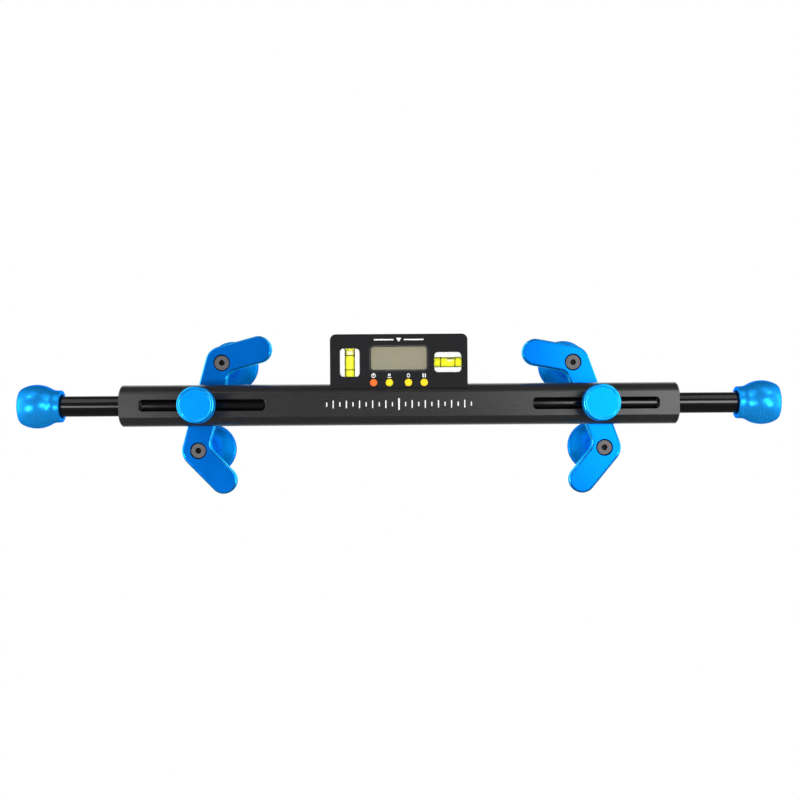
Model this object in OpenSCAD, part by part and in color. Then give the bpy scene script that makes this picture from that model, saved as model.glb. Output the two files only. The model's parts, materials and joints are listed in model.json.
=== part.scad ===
// Digital steering wheel level: a bar with a small digital level at its centre and two
// sprung carriages, each with a forked bracket and two spools that grip a wheel's rim.
// The bar's axis is X, the front faces -Y, up is +Z, and the origin is the bar's centre.

/* [Bar] */
// Diameter of the round bar
bar_d = 32; // [30:0.5:38]
// Length of the bar
bar_len = 427; // [410:1:470]
// Distance between the front and the rear flat
bar_flats = 26; // [24:0.5:29]
// Chamfer at the bar's ends
bar_chamfer = 1; // [0.3:0.1:2]
// Height of the level's seat above the bar's axis
seat_h = 11.6; // [11:0.1:13]
// Gap at each end of the level on its seat
seat_gap = 0.25; // [0.1:0.05:1]
// Distance of the slots' middles from the bar's ends
slot_in = 63.5; // [60:0.5:67]
// Length of each slot
slot_len = 96.5; // [80:0.5:100]
// Width of each slot
slot_w = 8.8; // [8.4:0.1:10]
// Corner radius of each slot
slot_r = 3; // [1:0.1:4]

/* [Carriage] */
// Distance of the clamps from the bar's ends
clamp_in = 62.4; // [58:0.1:73]
// Diameter of the pull rods
rod_d = 16; // [14:0.5:17]
// Length of rod that shows between bar and ball knob
rod_show = 46.2; // [20:0.1:70]
// Length of rod inboard of the clamp bolt
rod_tail = 54; // [45:0.5:70]
// Radial gap of the rods in the bore
rod_gap = 0.08; // [0.03:0.01:0.1]
// Diameter of the clamp bolts
bolt_d = 8; // [6:0.5:8]
// Radial gap of what turns or slides on a clamp bolt
bolt_gap = 0.05; // [0.02:0.01:0.1]
// Diameter of a clamp bolt's head
bolt_head_d = 14; // [12:0.5:18]
// Height of a clamp bolt's head
bolt_head_h = 4.4; // [3:0.1:6]
// Diameter of the washers
washer_d = 20; // [16:0.5:24]
// Thickness of the steel front washers
front_washer_t = 1.5; // [1:0.1:3]
// Thickness of the friction washers
friction_washer_t = 2; // [1:0.1:4]

/* [Ball knob] */
// Length of a ball knob
ball_len = 31.8; // [30:0.2:36]
// Largest diameter of a ball knob
ball_d = 33.8; // [31:0.2:38]
// Diameter of the flat outer end of a ball knob
ball_face_d = 26; // [22:0.5:28]
// Distance of the fullest part from the outer end
ball_belly = 12.5; // [11.5:0.1:13.5]
// Diameter of the collar
collar_d = 24.8; // [23:0.2:27]
// Radius of the hollow between collar and ball
collar_blend = 9; // [6:0.5:9.5]
// Diameter of the recess round the rod
collar_recess_d = 18.6; // [17.5:0.1:20]
// Depth of the recess round the rod
collar_recess = 8; // [4:0.5:10]
// Diameter of the rod's threaded end
spigot_d = 10; // [8:0.5:12]
// Length of the rod's threaded end
spigot_len = 14; // [8:0.5:16]

/* [Thumb knob] */
// Diameter of a thumb knob
thumb_d = 28; // [24:0.5:34]
// Thickness of a thumb knob's disc
thumb_disc_t = 10; // [7:0.5:14]
// Diameter of a thumb knob's hub
thumb_hub_d = 18; // [14:0.5:20]
// Height of a thumb knob's hub
thumb_hub_h = 11.5; // [8:0.5:16]
// Depth of the dish in a thumb knob's face
thumb_dish = 0.3; // [0.1:0.1:1]
// Width of the rim round the dish
thumb_rim = 2.2; // [1:0.1:4]
// Length of bolt thread inside a thumb knob's disc
thumb_grip = 5; // [2:0.5:6]

/* [Bracket] */
// Lean of the left bracket
left_tilt = 15.2; // [0:0.1:30]
// Lean of the right bracket
right_tilt = 19.9; // [0:0.1:30]
// Thickness of a bracket plate
plate_t = 8; // [6:0.5:12]
// Rounding of a bracket plate's edges
plate_edge = 1.8; // [0.5:0.1:2.5]
// Width of the strap
strap_w = 20.7; // [18:0.1:22]
// Width of the arms
arm_w = 21.2; // [18:0.1:24]
// Height of the elbows above the clamp bolt
elbow_h = 36.9; // [34:0.1:44]
// Outer radius of the elbows
elbow_r = 13.05; // [11:0.05:14]
// Inner radius of the elbows
fork_r = 7.5; // [4:0.1:10]
// Reach of the arms from elbow to end centre
arm_reach = 32; // [28:0.5:45]
// Angle of the arms above level
arm_angle = 30.5; // [15:0.5:40]

/* [Spool] */
// Length of a spool
spool_len = 58; // [50:0.5:70]
// Diameter of a spool's neck
neck_d = 21; // [19:0.5:25]
// Diameter of a spool's flange
flange_d = 41.6; // [38:0.2:48]
// Thickness of a spool's flange
flange_t = 5.5; // [3:0.1:7]
// Rounding of a spool's flange
flange_edge = 1.8; // [0.5:0.1:2.4]
// Radius of a spool's hollow side
flare_r = 60; // [45:1:80]
// Thread diameter of the spool screws
spool_screw_d = 6; // [5:0.5:8]
// Head diameter of the spool screws
spool_screw_head_d = 11.6; // [11:0.1:14]
// Length of the spool screws
spool_screw_len = 25; // [20:1:30]

/* [Springs] */
// Diameter of the spring wire
wire_d = 0.8; // [0.6:0.1:1.6]
// Mean radius of the coils
coil_r = 4.4; // [3.5:0.1:4.6]
// Number of turns of each spring
coil_turns = 24; // [10:1:24]
// Diameter of the pins that hold the springs
pin_d = 3; // [2:0.1:3.5]
// Distance of each rod's pin from the rod's inner end
rod_pin_in = 7; // [5:0.5:9]

/* [Level case] */
// Height of the level
level_h = 42; // [41:0.5:50]
// Thickness of the level
level_t = 22; // [22:0.5:26]
// Corner radius at the top of the level
level_r = 4.5; // [3:0.1:6]
// Wall of the level's case
case_wall = 1.5; // [1.2:0.1:1.6]
// Thickness of the case's front
case_front = 2; // [1.8:0.1:2.2]
// Thickness of the case's back
case_back = 2.8; // [2.4:0.1:3.2]
// Step round the case's front and rear face
case_step = 0.8; // [0.3:0.1:1]

/* [Display and buttons] */
// Visible width of the display
lcd_w = 42.4; // [38:0.2:44]
// Visible height of the display
lcd_h = 17.4; // [15:0.2:19]
// Height of the display's centre above the seat
lcd_z = 23.5; // [22:0.1:24.5]
// Width of the dark rim of the display window
lcd_rim = 1.5; // [0.8:0.1:2]
// Thickness of the display window
window_t = 1; // [0.6:0.1:1.2]
// Diameter of the buttons
button_d = 5.6; // [5:0.1:6.6]
// Radial gap of the buttons
button_gap = 0.15; // [0.1:0.01:0.2]
// Height of the buttons' centres above the seat
button_z = 4.9; // [4.9:0.1:5.5]
// Distance of the outer buttons from the centre
button_outer_x = 19.3; // [17:0.1:20]
// Distance of the inner buttons from the centre
button_inner_x = 7.25; // [7.2:0.05:8]
// How far the buttons stand proud
button_proud = 0.5; // [0.2:0.1:1]
// Travel of the buttons
button_travel = 0.7; // [0.4:0.1:0.9]

/* [Vials] */
// Diameter of the vials
vial_d = 8; // [7:0.1:8.4]
// Distance of the vials' centres from the display's edges
vial_gap = 16.2; // [15.6:0.1:17]
// Distance of the vials' centres from the level's ends
vial_end = 15.1; // [14.5:0.1:18]
// Height of the vials' centres above the seat
vial_z = 20.3; // [19:0.1:21]
// Width of a vial's window
vial_window_w = 15.5; // [13:0.1:16]
// Length of the upright vial's window
upright_window_len = 21.7; // [19:0.1:23]
// Length of the level vial's window
level_window_len = 20.9; // [18:0.1:21.2]
// Wall of the vials
vial_wall = 0.8; // [0.5:0.1:1.2]
// Thickness of the vials' end plugs
vial_plug_t = 1.2; // [0.8:0.1:2]
// Length of the bubbles
bubble_len = 5.4; // [4.5:0.1:7]
// How far the level vial's bubble lies off its middle
bubble_shift = 1.6; // [0:0.1:3]

/* [Electronics] */
// Diameter of a battery
battery_d = 10.5; // [10:0.1:10.6]
// Length of a battery
battery_len = 44.5; // [42:0.5:45]
// Height of the batteries' middle above the seat
battery_z = 21.5; // [20.5:0.1:22]
// Offset of the batteries' middle from the centre
battery_x = -1.3; // [-1.5:0.1:-1]
// Thickness of the battery door
door_t = 1.6; // [1.2:0.1:2]
// Gap between the circuit board and the level vial's holder
board_gap = 1.15; // [0.5:0.05:2]
// Thickness of the circuit board
board_t = 1.6; // [1:0.1:1.6]

/* [Hidden] */
$fn = 96;

// Small gap between faces that slide or are only laid together
touch = 0.05;
// Overshoot of a cut past the face that it opens
past = 1;
// Radial gap of a loose hole round a screw or bolt
hole_gap = 0.2;

// Level, from its display outwards
holder_wall = 0.8;
vial_x = lcd_w / 2 + vial_gap;
level_w = 2 * (vial_x + vial_end);
board_w = 2 * (vial_x - level_window_len / 2 - holder_wall - board_gap);

// Bar
flat_y = bar_flats / 2;
bore_d = rod_d + 2 * rod_gap;
seat_len = level_w + 2 * seat_gap;
slot_x = bar_len / 2 - slot_in;
clamp_x = bar_len / 2 - clamp_in;

// Carriage: x is measured from the clamp bolt, towards the bar's centre
collar_x = -(clamp_in + rod_show);
rod_shoulder_x = collar_x - collar_recess;
spigot_fit = 0.02;
rod_pin_x = rod_tail - rod_pin_in;
rod_end_bore_d = 2 * (coil_r + wire_d + 0.5);
rod_end_bore = rod_pin_in + 5;
pin_sink = 0.5;
bolt_head_edge = 1;
bolt_socket = 5;
bolt_socket_depth = 2.7;
knob_edge = 1;

// Places along Y, from the front to the back
washer_front_y = -flat_y - touch - front_washer_t;
thumb_hub_y = washer_front_y - touch;
thumb_disc_y = thumb_hub_y - thumb_hub_h;
thumb_face_y = thumb_disc_y - thumb_disc_t;
bolt_tip_y = thumb_disc_y - thumb_grip;
plate_front_y = flat_y + friction_washer_t;
plate_rear_y = plate_front_y + plate_t;
bolt_end_y = plate_rear_y + touch + bolt_head_h;

// Ball knob: radius of the belly's arc, from its fullest point and its end face
belly_drop = (ball_d - ball_face_d) / 2;
belly_r = (ball_belly * ball_belly + belly_drop * belly_drop) / (2 * belly_drop);

// Bracket: the elbow's outer rounding is centred on the spool screw
screw_x = elbow_r - strap_w / 2;
screw_h = elbow_h + (arm_w / 2 - elbow_r + screw_x * sin(arm_angle)) / cos(arm_angle);
// Foot of the screw's axis on the arm's centre line
foot = (screw_x * cos(arm_angle)) + (screw_h - elbow_h) * sin(arm_angle);
// Centre of the fork's inner rounding
fork_x = strap_w / 2 + fork_r;
fork_h = elbow_h - (arm_w / 2 + fork_r - fork_x * sin(arm_angle)) / cos(arm_angle);

// Spool: y is measured from the plate's rear face
flare_end = spool_len - flange_t;
flare_rise = (flange_d - neck_d) / 2 - flange_edge;
flare_start = flare_end - sqrt(flare_r * flare_r - pow(flare_r - flare_rise, 2));
spool_screw_sink = 0.7;
spool_socket = 4;
spool_socket_depth = 2.6;

// Springs: the wire of a hook runs this far beside the bar's middle plane
hook_side = 1.6;
hook_lead = 2.5;
hook_reach = pin_d / 2 + wire_d / 2 + touch;

// Level: z is measured from the seat
level_front_y = -level_t / 2;
level_rear_y = level_t / 2;
front_inner_y = level_front_y + case_front;
back_inner_y = level_rear_y - case_back;
foot_r = 1;
notch_w = 48.7;
notch_h = 1.1;
notch_depth = 1.2;

// Display, buttons and circuit board, stacked behind the case's front
window_sink = 0.2;
window_gap = 0.1;
pocket_depth = window_sink + window_t;
lcd_corner_r = 2.2;
window_corner_r = lcd_corner_r + lcd_rim;
panel_t = 2.6;
panel_margin = 1.8;
switch_t = 1.8;
switch_w = 5;
ear_w = 9;
ear_h = 3;
ear_t = 0.8;
stem_d = 3;
stem_len = 0.4;
button_edge = 0.4;
stem_end_y = front_inner_y + touch + ear_t + stem_len;
board_front_y = stem_end_y + button_travel + touch + switch_t;
board_rear_y = board_front_y + board_t;
board_margin = 0.8;
board_corner_r = 1;
board_low = case_wall + board_margin;
board_high = level_h - case_wall - board_margin;
post_d = 4.6;
post_inset = 2.4;
post_x = board_w / 2 - post_inset;
post_z = board_high - post_inset;
small_screw_d = 1.6;
small_screw_len = 4;
small_head_d = 3.4;
small_head_h = 1.2;
chip_t = 1.2;
chip_h = 4.4;
chip_z = board_high - chip_h / 2 - 0.5;
sensor_x = -12;
sensor_w = 4;
controller_x = 6;
controller_w = 10;

// Vials
vial_sink = 0.4;
vial_y = level_front_y + vial_sink + vial_d / 2;
holder_front_y = level_front_y + 1.2;
holder_back_y = vial_y + vial_d / 2 + holder_wall;
holder_lip = 1.2;
holder_gap = 0.15;
liquid_d = vial_d - 2 * vial_wall - 0.02;
window_r = 2.8;
upright_len = upright_window_len - 2 * holder_gap;
level_len = level_window_len - 2 * holder_gap;
bubble_r = 2;
bubble_overlap = 0.3;

// Batteries, their box and door
tray_wall = 1.2;
contact_room = 2;
contact_t = 0.4;
contact_w = battery_d - 2;
battery_gap = 0.3;
battery_nub = 1;
battery_nub_d = battery_d / 2;
door_inner_y = level_rear_y - door_t;
tray_half_w = battery_len / 2 + contact_room;
tray_half_h = battery_d + 1.5 * battery_gap;
battery_y = door_inner_y - battery_gap / 2 - battery_d / 2;
tray_inner_y = battery_y - battery_d / 2 - battery_gap / 2;
battery_rise = (battery_d + battery_gap) / 2;
door_ear = 7;
door_corner_r = 1.5;
door_screw_x = battery_x + tray_half_w + tray_wall + door_ear / 2;
door_boss_d = 5;
door_boss_len = 4;
door_head_h = 0.8;
door_screw_sink = 0.2;
door_gap = 0.15;
ridges = 5;
ridge_pitch = 1.6;
ridge_w = 0.8;
ridge_len = 12;
ridge_depth = 0.3;
ridge_inset = 4;

// Screws of the case, and the two that hold the level on the bar
boss_d = 6;
case_screw_d = 2.5;
case_head_d = 4.6;
case_head_h = 1.7;
case_head_sink = 0.3;
case_screw_end_y = front_inner_y + 1.5;
case_seat_y = level_rear_y - case_head_sink - case_head_h;
boss_inset = 4;
boss_x = level_w / 2 - boss_inset;
boss_low = boss_inset;
boss_high = level_h - boss_inset;
level_screw_d = 3;
level_screw_head_d = 5.5;
level_screw_head_h = 2.2;
level_socket = 2;
level_socket_depth = 1.4;
level_screw_y = 4.5;
level_screw_bite = 3.2;

// Six-sided socket along Z, its width measured across the flats
module socket(across, depth) {
    cylinder(r = across / 2 / cos(30), h = depth, $fn = 6);
}

// Six-sided socket along Y from y0 to y1
module socket_y(across, y0, y1) {
    translate([0, y0, 0])
        rotate([-90, 0, 0])
            socket(across, y1 - y0);
}

// Solid that runs from y0 to y1 behind a shape drawn as x and z
module front_view(y0, y1) {
    translate([0, y1, 0])
        rotate([90, 0, 0])
            linear_extrude(y1 - y0)
                children();
}

// Solid of revolution about Y, drawn as radius and y
module turned_y() {
    rotate([-90, 0, 0])
        rotate_extrude()
            children();
}

// Solid of revolution about X, drawn as radius and x
module turned_x() {
    rotate([0, 90, 0])
        rotate_extrude()
            children();
}

// Round rod along Y from y0 to y1
module rod_y(d, y0, y1) {
    translate([0, y0, 0])
        rotate([-90, 0, 0])
            cylinder(d = d, h = y1 - y0);
}

// Round rod along X from x0 to x1
module rod_x(d, x0, x1) {
    translate([x0, 0, 0])
        rotate([0, 90, 0])
            cylinder(d = d, h = x1 - x0);
}

// Rectangle with four rounded corners, centred
module rounded(w, h, r) {
    square([w - 2 * r, h], center = true);
    square([w, h - 2 * r], center = true);
    for (sx = [-1, 1])
        for (sy = [-1, 1])
            translate([sx * (w / 2 - r), sy * (h / 2 - r)])
                circle(r);
}

// Half of a rounded rectangle, for turning: radius r, height h, edges rounded by e
module rounded_half(r, h, e) {
    square([r - e, h]);
    translate([0, e])
        square([r, h - 2 * e]);
    for (y = [e, h - e])
        translate([r - e, y])
            circle(e);
}

// Ring along Y between y0 and y1
module ring_y(outer_d, inner_d, y0, y1) {
    difference() {
        rod_y(outer_d, y0, y1);
        rod_y(inner_d, y0 - past, y1 + past);
    }
}

// Carriage frame of the left side: origin on the clamp bolt, x towards the bar's centre
module left_side(tilt = 0) {
    translate([-clamp_x, 0, 0])
        rotate([0, tilt, 0])
            children();
}

// Carriage frame of the right side
module right_side(tilt = 0) {
    mirror([1, 0, 0])
        left_side(tilt)
            children();
}

// Frame of the level: z is measured from its seat
module on_seat() {
    translate([0, 0, seat_h])
        children();
}

module bar() {
    color([0.16, 0.16, 0.18])
        difference() {
            bar_blank();
            rod_x(bore_d, -bar_len / 2 - past, bar_len / 2 + past);
            for (side = [-1, 1]) {
                flat_cut(side);
                slot_cut(side);
                level_screw_place(side)
                    translate([0, 0, -seat_h])
                        cylinder(d = level_screw_d + touch, h = bar_d);
            }
            seat_cut();
            cylinder(d = pin_d + spigot_fit, h = 2 * bar_d, center = true);
        }
}

module bar_blank() {
    rod_x(bar_d, -bar_len / 2 + bar_chamfer, bar_len / 2 - bar_chamfer);
    for (side = [0, 1])
        mirror([side, 0, 0])
            translate([bar_len / 2 - bar_chamfer, 0, 0])
                rotate([0, 90, 0])
                    cylinder(d1 = bar_d, d2 = bar_d - 2 * bar_chamfer, h = bar_chamfer);
}

module flat_cut(side) {
    translate([0, side * (flat_y + bar_d / 2), 0])
        cube([bar_len + 2 * past, bar_d, bar_d + 2 * past], center = true);
}

// One slot goes through the front and the rear wall
module slot_cut(side) {
    translate([side * slot_x, 0, 0])
        front_view(-bar_d, bar_d)
            rounded(slot_len, slot_w, slot_r);
}

module seat_cut() {
    translate([-seat_len / 2, -bar_d, seat_h])
        cube([seat_len, 2 * bar_d, bar_d]);
}

module spring_anchor_pin() {
    color([0.6, 0.6, 0.62])
        translate([0, 0, -bar_d / 2 + touch])
            cylinder(d = pin_d, h = bar_d / 2 + seat_h - 2 * touch);
}

// Route of a spring's wire from the anchor pin at x = 0 to a rod's pin at x = span
function spring_path(span) =
    let(
        ring_a = coil_r - hook_reach,
        ring_b = span + hook_reach - coil_r,
        coil_a = ring_a + hook_lead + hook_side,
        coil_b = ring_b - hook_lead - hook_side,
        steps = 8 * coil_turns
    )
    concat(
        [for (a = [300 : -30 : 90]) [ring_a + coil_r * cos(a), coil_r * sin(a), -hook_side]],
        [for (b = [0 : 30 : 60]) [coil_a - hook_side * (1 - sin(b)), coil_r, -hook_side * cos(b)]],
        [for (i = [0 : steps]) [
            coil_a + (coil_b - coil_a) * i / steps,
            coil_r * cos(45 * i),
            coil_r * sin(45 * i)
        ]],
        [for (b = [30 : 30 : 90]) [coil_b + hook_side * (1 - cos(b)), coil_r, hook_side * sin(b)]],
        [for (a = [90 : -30 : -120]) [ring_b + coil_r * cos(a), coil_r * sin(a), hook_side]]
    );

function unit(v) = v / norm(v);

function heading(path, i) =
    unit(path[min(i + 1, len(path) - 1)] - path[max(i - 1, 0)]);

// Side direction at each point, carried along the path without twist
function sides_along(path, first) = [
    for (
        i = 0, u = first;
        i < len(path);
        i = i + 1,
        t = i < len(path) ? heading(path, i) : [0, 0, 0],
        u = unit(u - (u * t) * t)
    ) u
];

// One unbroken tube along the path
module wire(path, d, first, sides = 6) {
    us = sides_along(path, first);
    last = len(path) - 1;
    points = [
        for (i = [0 : last])
            let(t = heading(path, i), v = cross(t, us[i]))
            for (j = [0 : sides - 1])
                path[i] + d / 2 * (cos(360 * j / sides) * us[i] + sin(360 * j / sides) * v)
    ];
    walls = [
        for (i = [0 : last - 1])
            for (j = [0 : sides - 1])
                let(a = i * sides + j, b = i * sides + (j + 1) % sides)
                for (face = [[a, a + sides, b + sides], [a, b + sides, b]])
                    face
    ];
    start_cap = [for (j = [1 : sides - 2]) [0, j, j + 1]];
    end_cap = [for (j = [1 : sides - 2]) [last * sides, last * sides + j + 1, last * sides + j]];
    polyhedron(points, concat(walls, start_cap, end_cap));
}

// Least gap between turns of the wire, from points at least half a turn apart on the path
function least_gap(path, d) = min([
    for (i = [0 : len(path) - 5])
        for (j = [i + 4 : len(path) - 1])
            norm(path[j] - path[i]) - d
]);

module spring() {
    path = spring_path(clamp_x - rod_pin_x);
    echo("Least gap between turns of the spring in mm", least_gap(path, wire_d));
    wire(path, wire_d, [0, 0, 1]);
}

module left_spring() {
    color([0.7, 0.7, 0.72])
        rotate([0, 180, 0])
            spring();
}

module right_spring() {
    color([0.7, 0.7, 0.72])
        spring();
}

module pull_rod() {
    color([0.06, 0.06, 0.07])
        difference() {
            union() {
                rod_x(rod_d, rod_shoulder_x, rod_tail);
                rod_x(spigot_d, rod_shoulder_x - spigot_len, rod_shoulder_x + touch);
            }
            rod_x(rod_end_bore_d, rod_tail - rod_end_bore, rod_tail + past);
            rod_y(bolt_d + 2 * bolt_gap, -rod_d, rod_d);
            translate([rod_pin_x, 0, 0])
                cylinder(d = pin_d + spigot_fit, h = 2 * rod_d, center = true);
        }
}

module left_pull_rod() {
    left_side() pull_rod();
}

module right_pull_rod() {
    right_side() pull_rod();
}

// The ball knob is drawn from its outer end, x towards the bar
module ball_knob() {
    color([0.0, 0.4, 0.85])
        translate([collar_x - ball_len, 0, 0])
            difference() {
                turned_x() ball_outline();
                rod_x(collar_recess_d, ball_len - collar_recess, ball_len + past);
                rod_x(
                    spigot_d + 2 * spigot_fit,
                    ball_len - collar_recess - spigot_len - touch,
                    ball_len
                );
            }
}

// Belly arc, hollow blend and collar, drawn as radius and x
module ball_outline() {
    belly_c = [ball_d / 2 - belly_r, ball_belly];
    blend_c = [
        collar_d / 2 + collar_blend,
        ball_belly + sqrt(
            pow(belly_r + collar_blend, 2)
            - pow(collar_d / 2 + collar_blend - belly_c[0], 2)
        )
    ];
    tangent = belly_c + (blend_c - belly_c) * belly_r / (belly_r + collar_blend);
    square([collar_d / 2, ball_len]);
    intersection() {
        translate(belly_c)
            circle(belly_r);
        square([ball_d, tangent[1]]);
    }
    difference() {
        polygon([[0, tangent[1]], tangent, [collar_d / 2, blend_c[1]], [0, blend_c[1]]]);
        translate(blend_c)
            circle(collar_blend);
    }
}

module left_ball_knob() {
    left_side() ball_knob();
}

module right_ball_knob() {
    right_side() ball_knob();
}

module spring_pin() {
    color([0.6, 0.6, 0.62])
        translate([rod_pin_x, 0, 0])
            cylinder(d = pin_d, h = rod_d - 2 * pin_sink, center = true);
}

module left_spring_pin() {
    left_side() spring_pin();
}

module right_spring_pin() {
    right_side() spring_pin();
}

module clamp_bolt() {
    color([0.55, 0.55, 0.57])
        difference() {
            union() {
                rod_y(bolt_d, bolt_tip_y, plate_rear_y + 2 * touch);
                translate([0, plate_rear_y + touch, 0])
                    turned_y() rounded_half(bolt_head_d / 2, bolt_head_h, bolt_head_edge);
            }
            socket_y(bolt_socket, bolt_end_y - bolt_socket_depth, bolt_end_y + past);
        }
}

module left_clamp_bolt() {
    left_side() clamp_bolt();
}

module right_clamp_bolt() {
    right_side() clamp_bolt();
}

module front_washer() {
    color([0.7, 0.7, 0.72])
        ring_y(washer_d, bolt_d + 2 * hole_gap, washer_front_y, -flat_y - touch);
}

module left_front_washer() {
    left_side() front_washer();
}

module right_front_washer() {
    right_side() front_washer();
}

module friction_washer() {
    color([0.1, 0.1, 0.1])
        ring_y(washer_d, bolt_d + 2 * hole_gap, flat_y + touch, plate_front_y - touch);
}

module left_friction_washer() {
    left_side() friction_washer();
}

module right_friction_washer() {
    right_side() friction_washer();
}

module thumb_knob() {
    color([0.0, 0.6, 1.0])
        difference() {
            union() {
                translate([0, thumb_face_y, 0])
                    turned_y() rounded_half(thumb_d / 2, thumb_disc_t, knob_edge);
                rod_y(thumb_hub_d, thumb_disc_y - touch, thumb_hub_y);
            }
            rod_y(thumb_d - 2 * thumb_rim, thumb_face_y - past, thumb_face_y + thumb_dish);
            rod_y(bolt_d + 2 * bolt_gap, bolt_tip_y - touch, 0);
        }
}

module left_thumb_knob() {
    left_side() thumb_knob();
}

module right_thumb_knob() {
    right_side() thumb_knob();
}

// Straight stretch of plate along x with rounded edges
module plate_run(length, w) {
    rotate([0, 90, 0])
        linear_extrude(length)
            rounded(w, plate_t, plate_edge);
}

// Round end of plate
module plate_end(r) {
    translate([0, -plate_t / 2, 0])
        turned_y() rounded_half(r, plate_t, plate_edge);
}

// Rounded inner corner of the fork, cut with a tool whose ends flare by the edge's rounding
module fork_corner() {
    arm_normal = [-sin(arm_angle), cos(arm_angle)];
    difference() {
        front_view(-plate_t / 2, plate_t / 2)
            polygon([
                [fork_x, fork_h],
                [strap_w / 2 - plate_edge, fork_h],
                [strap_w / 2 - plate_edge, elbow_h],
                [fork_x, fork_h] + arm_normal * (fork_r + plate_edge)
            ]);
        translate([fork_x, -plate_t / 2, fork_h])
            turned_y() difference() {
                translate([0, -past])
                    square([fork_r + plate_edge, plate_t + 2 * past]);
                translate([fork_r + plate_edge, plate_edge])
                    circle(plate_edge);
                translate([fork_r + plate_edge, plate_t - plate_edge])
                    circle(plate_edge);
                translate([fork_r, plate_edge])
                    square([2 * plate_edge, plate_t - 2 * plate_edge]);
            }
    }
}

// Arm, elbow and inner corner of the upper half
module fork_half() {
    translate([screw_x, 0, screw_h])
        plate_end(elbow_r);
    translate([0, 0, elbow_h])
        rotate([0, -arm_angle, 0]) {
            translate([foot, 0, 0])
                plate_run(arm_reach - foot, arm_w);
            translate([arm_reach, 0, 0])
                plate_end(arm_w / 2);
        }
    fork_corner();
}

module spool_screw_places() {
    for (side = [0, 1])
        mirror([0, 0, side])
            translate([screw_x, 0, screw_h])
                children();
}

module bracket_plate() {
    color([0.0, 0.45, 0.9])
        difference() {
            translate([0, plate_front_y + plate_t / 2, 0]) {
                translate([0, 0, -screw_h])
                    rotate([0, -90, 0])
                        plate_run(2 * screw_h, strap_w);
                fork_half();
                mirror([0, 0, 1])
                    fork_half();
            }
            rod_y(bolt_d + 2 * bolt_gap, 0, 2 * plate_rear_y);
            spool_screw_places() {
                rod_y(spool_screw_d + 2 * hole_gap, 0, 2 * plate_rear_y);
                spool_screw_cone(spool_screw_head_d + 2 * spool_screw_sink, plate_front_y);
            }
        }
}

// Cone of a countersunk head whose widest circle lies at y
module spool_screw_cone(d, y) {
    translate([0, y, 0])
        rotate([-90, 0, 0]) {
            cylinder(d1 = d, d2 = spool_screw_d, h = (d - spool_screw_d) / 2);
            translate([0, 0, -past])
                cylinder(d = d, h = past + touch);
        }
}

module left_bracket_plate() {
    left_side(left_tilt) bracket_plate();
}

module right_bracket_plate() {
    right_side(right_tilt) bracket_plate();
}

// A spool on the upper or the lower screw
module spool(side) {
    color([0.0, 0.4, 0.85])
        mirror([0, 0, side])
            translate([screw_x, plate_rear_y, screw_h])
                difference() {
                    turned_y() spool_outline();
                    rod_y(
                        spool_screw_d + touch,
                        -past,
                        spool_screw_len + spool_screw_sink + past - plate_t
                    );
                }
}

module spool_outline() {
    square([neck_d / 2, spool_len]);
    translate([0, flare_end])
        rounded_half(flange_d / 2, flange_t, flange_edge);
    difference() {
        translate([0, flare_start])
            square([flange_d / 2 - flange_edge, flare_end - flare_start + flange_edge]);
        translate([neck_d / 2 + flare_r, flare_start])
            circle(flare_r, $fn = 360);
    }
}

module left_upper_spool() {
    left_side(left_tilt) spool(0);
}

module left_lower_spool() {
    left_side(left_tilt) spool(1);
}

module right_upper_spool() {
    right_side(right_tilt) spool(0);
}

module right_lower_spool() {
    right_side(right_tilt) spool(1);
}

module spool_screws() {
    head_y = plate_front_y + spool_screw_sink;
    cone_h = (spool_screw_head_d - spool_screw_d) / 2;
    color([0.3, 0.28, 0.27])
        spool_screw_places()
            difference() {
                union() {
                    translate([0, head_y, 0])
                        rotate([-90, 0, 0])
                            cylinder(d1 = spool_screw_head_d, d2 = spool_screw_d, h = cone_h);
                    rod_y(spool_screw_d, head_y + cone_h - touch, head_y + spool_screw_len);
                }
                socket_y(spool_socket, head_y - past, head_y + spool_socket_depth);
            }
}

module left_spool_screws() {
    left_side(left_tilt) spool_screws();
}

module right_spool_screws() {
    right_side(right_tilt) spool_screws();
}

// Front outline of the level's case, drawn in by d
module case_outline(d) {
    half = level_w / 2 - d;
    top = level_h - d;
    r = level_r - d;
    translate([-half, d + foot_r])
        square([2 * half, top - r - d - foot_r]);
    translate([-half + foot_r, d])
        square([2 * (half - foot_r), 2 * foot_r]);
    translate([-half + r, top - 2 * r])
        square([2 * (half - r), 2 * r]);
    for (side = [-1, 1]) {
        translate([side * (half - r), top - r])
            circle(r);
        translate([side * (half - foot_r), d + foot_r])
            circle(foot_r);
    }
}

module boss_places() {
    for (side = [-1, 1])
        for (z = [boss_low, boss_high])
            translate([side * boss_x, 0, z])
                children();
}

module post_places() {
    for (side = [-1, 1])
        translate([side * post_x, 0, post_z])
            children();
    translate([0, 0, button_z])
        children();
}

module button_places() {
    for (x = [-button_outer_x, -button_inner_x, button_inner_x, button_outer_x])
        translate([x, 0, button_z])
            children();
}

module level_front_shell() {
    color([0.12, 0.12, 0.13])
        on_seat()
            difference() {
                union() {
                    difference() {
                        union() {
                            front_view(level_front_y + case_step, 0) case_outline(0);
                            front_view(level_front_y, 0) case_outline(case_step);
                        }
                        front_view(front_inner_y, past) case_outline(case_wall);
                    }
                    boss_places()
                        rod_y(boss_d, front_inner_y - touch, 0);
                    post_places()
                        rod_y(post_d, front_inner_y - touch, board_front_y);
                }
                front_cuts();
            }
}

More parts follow.
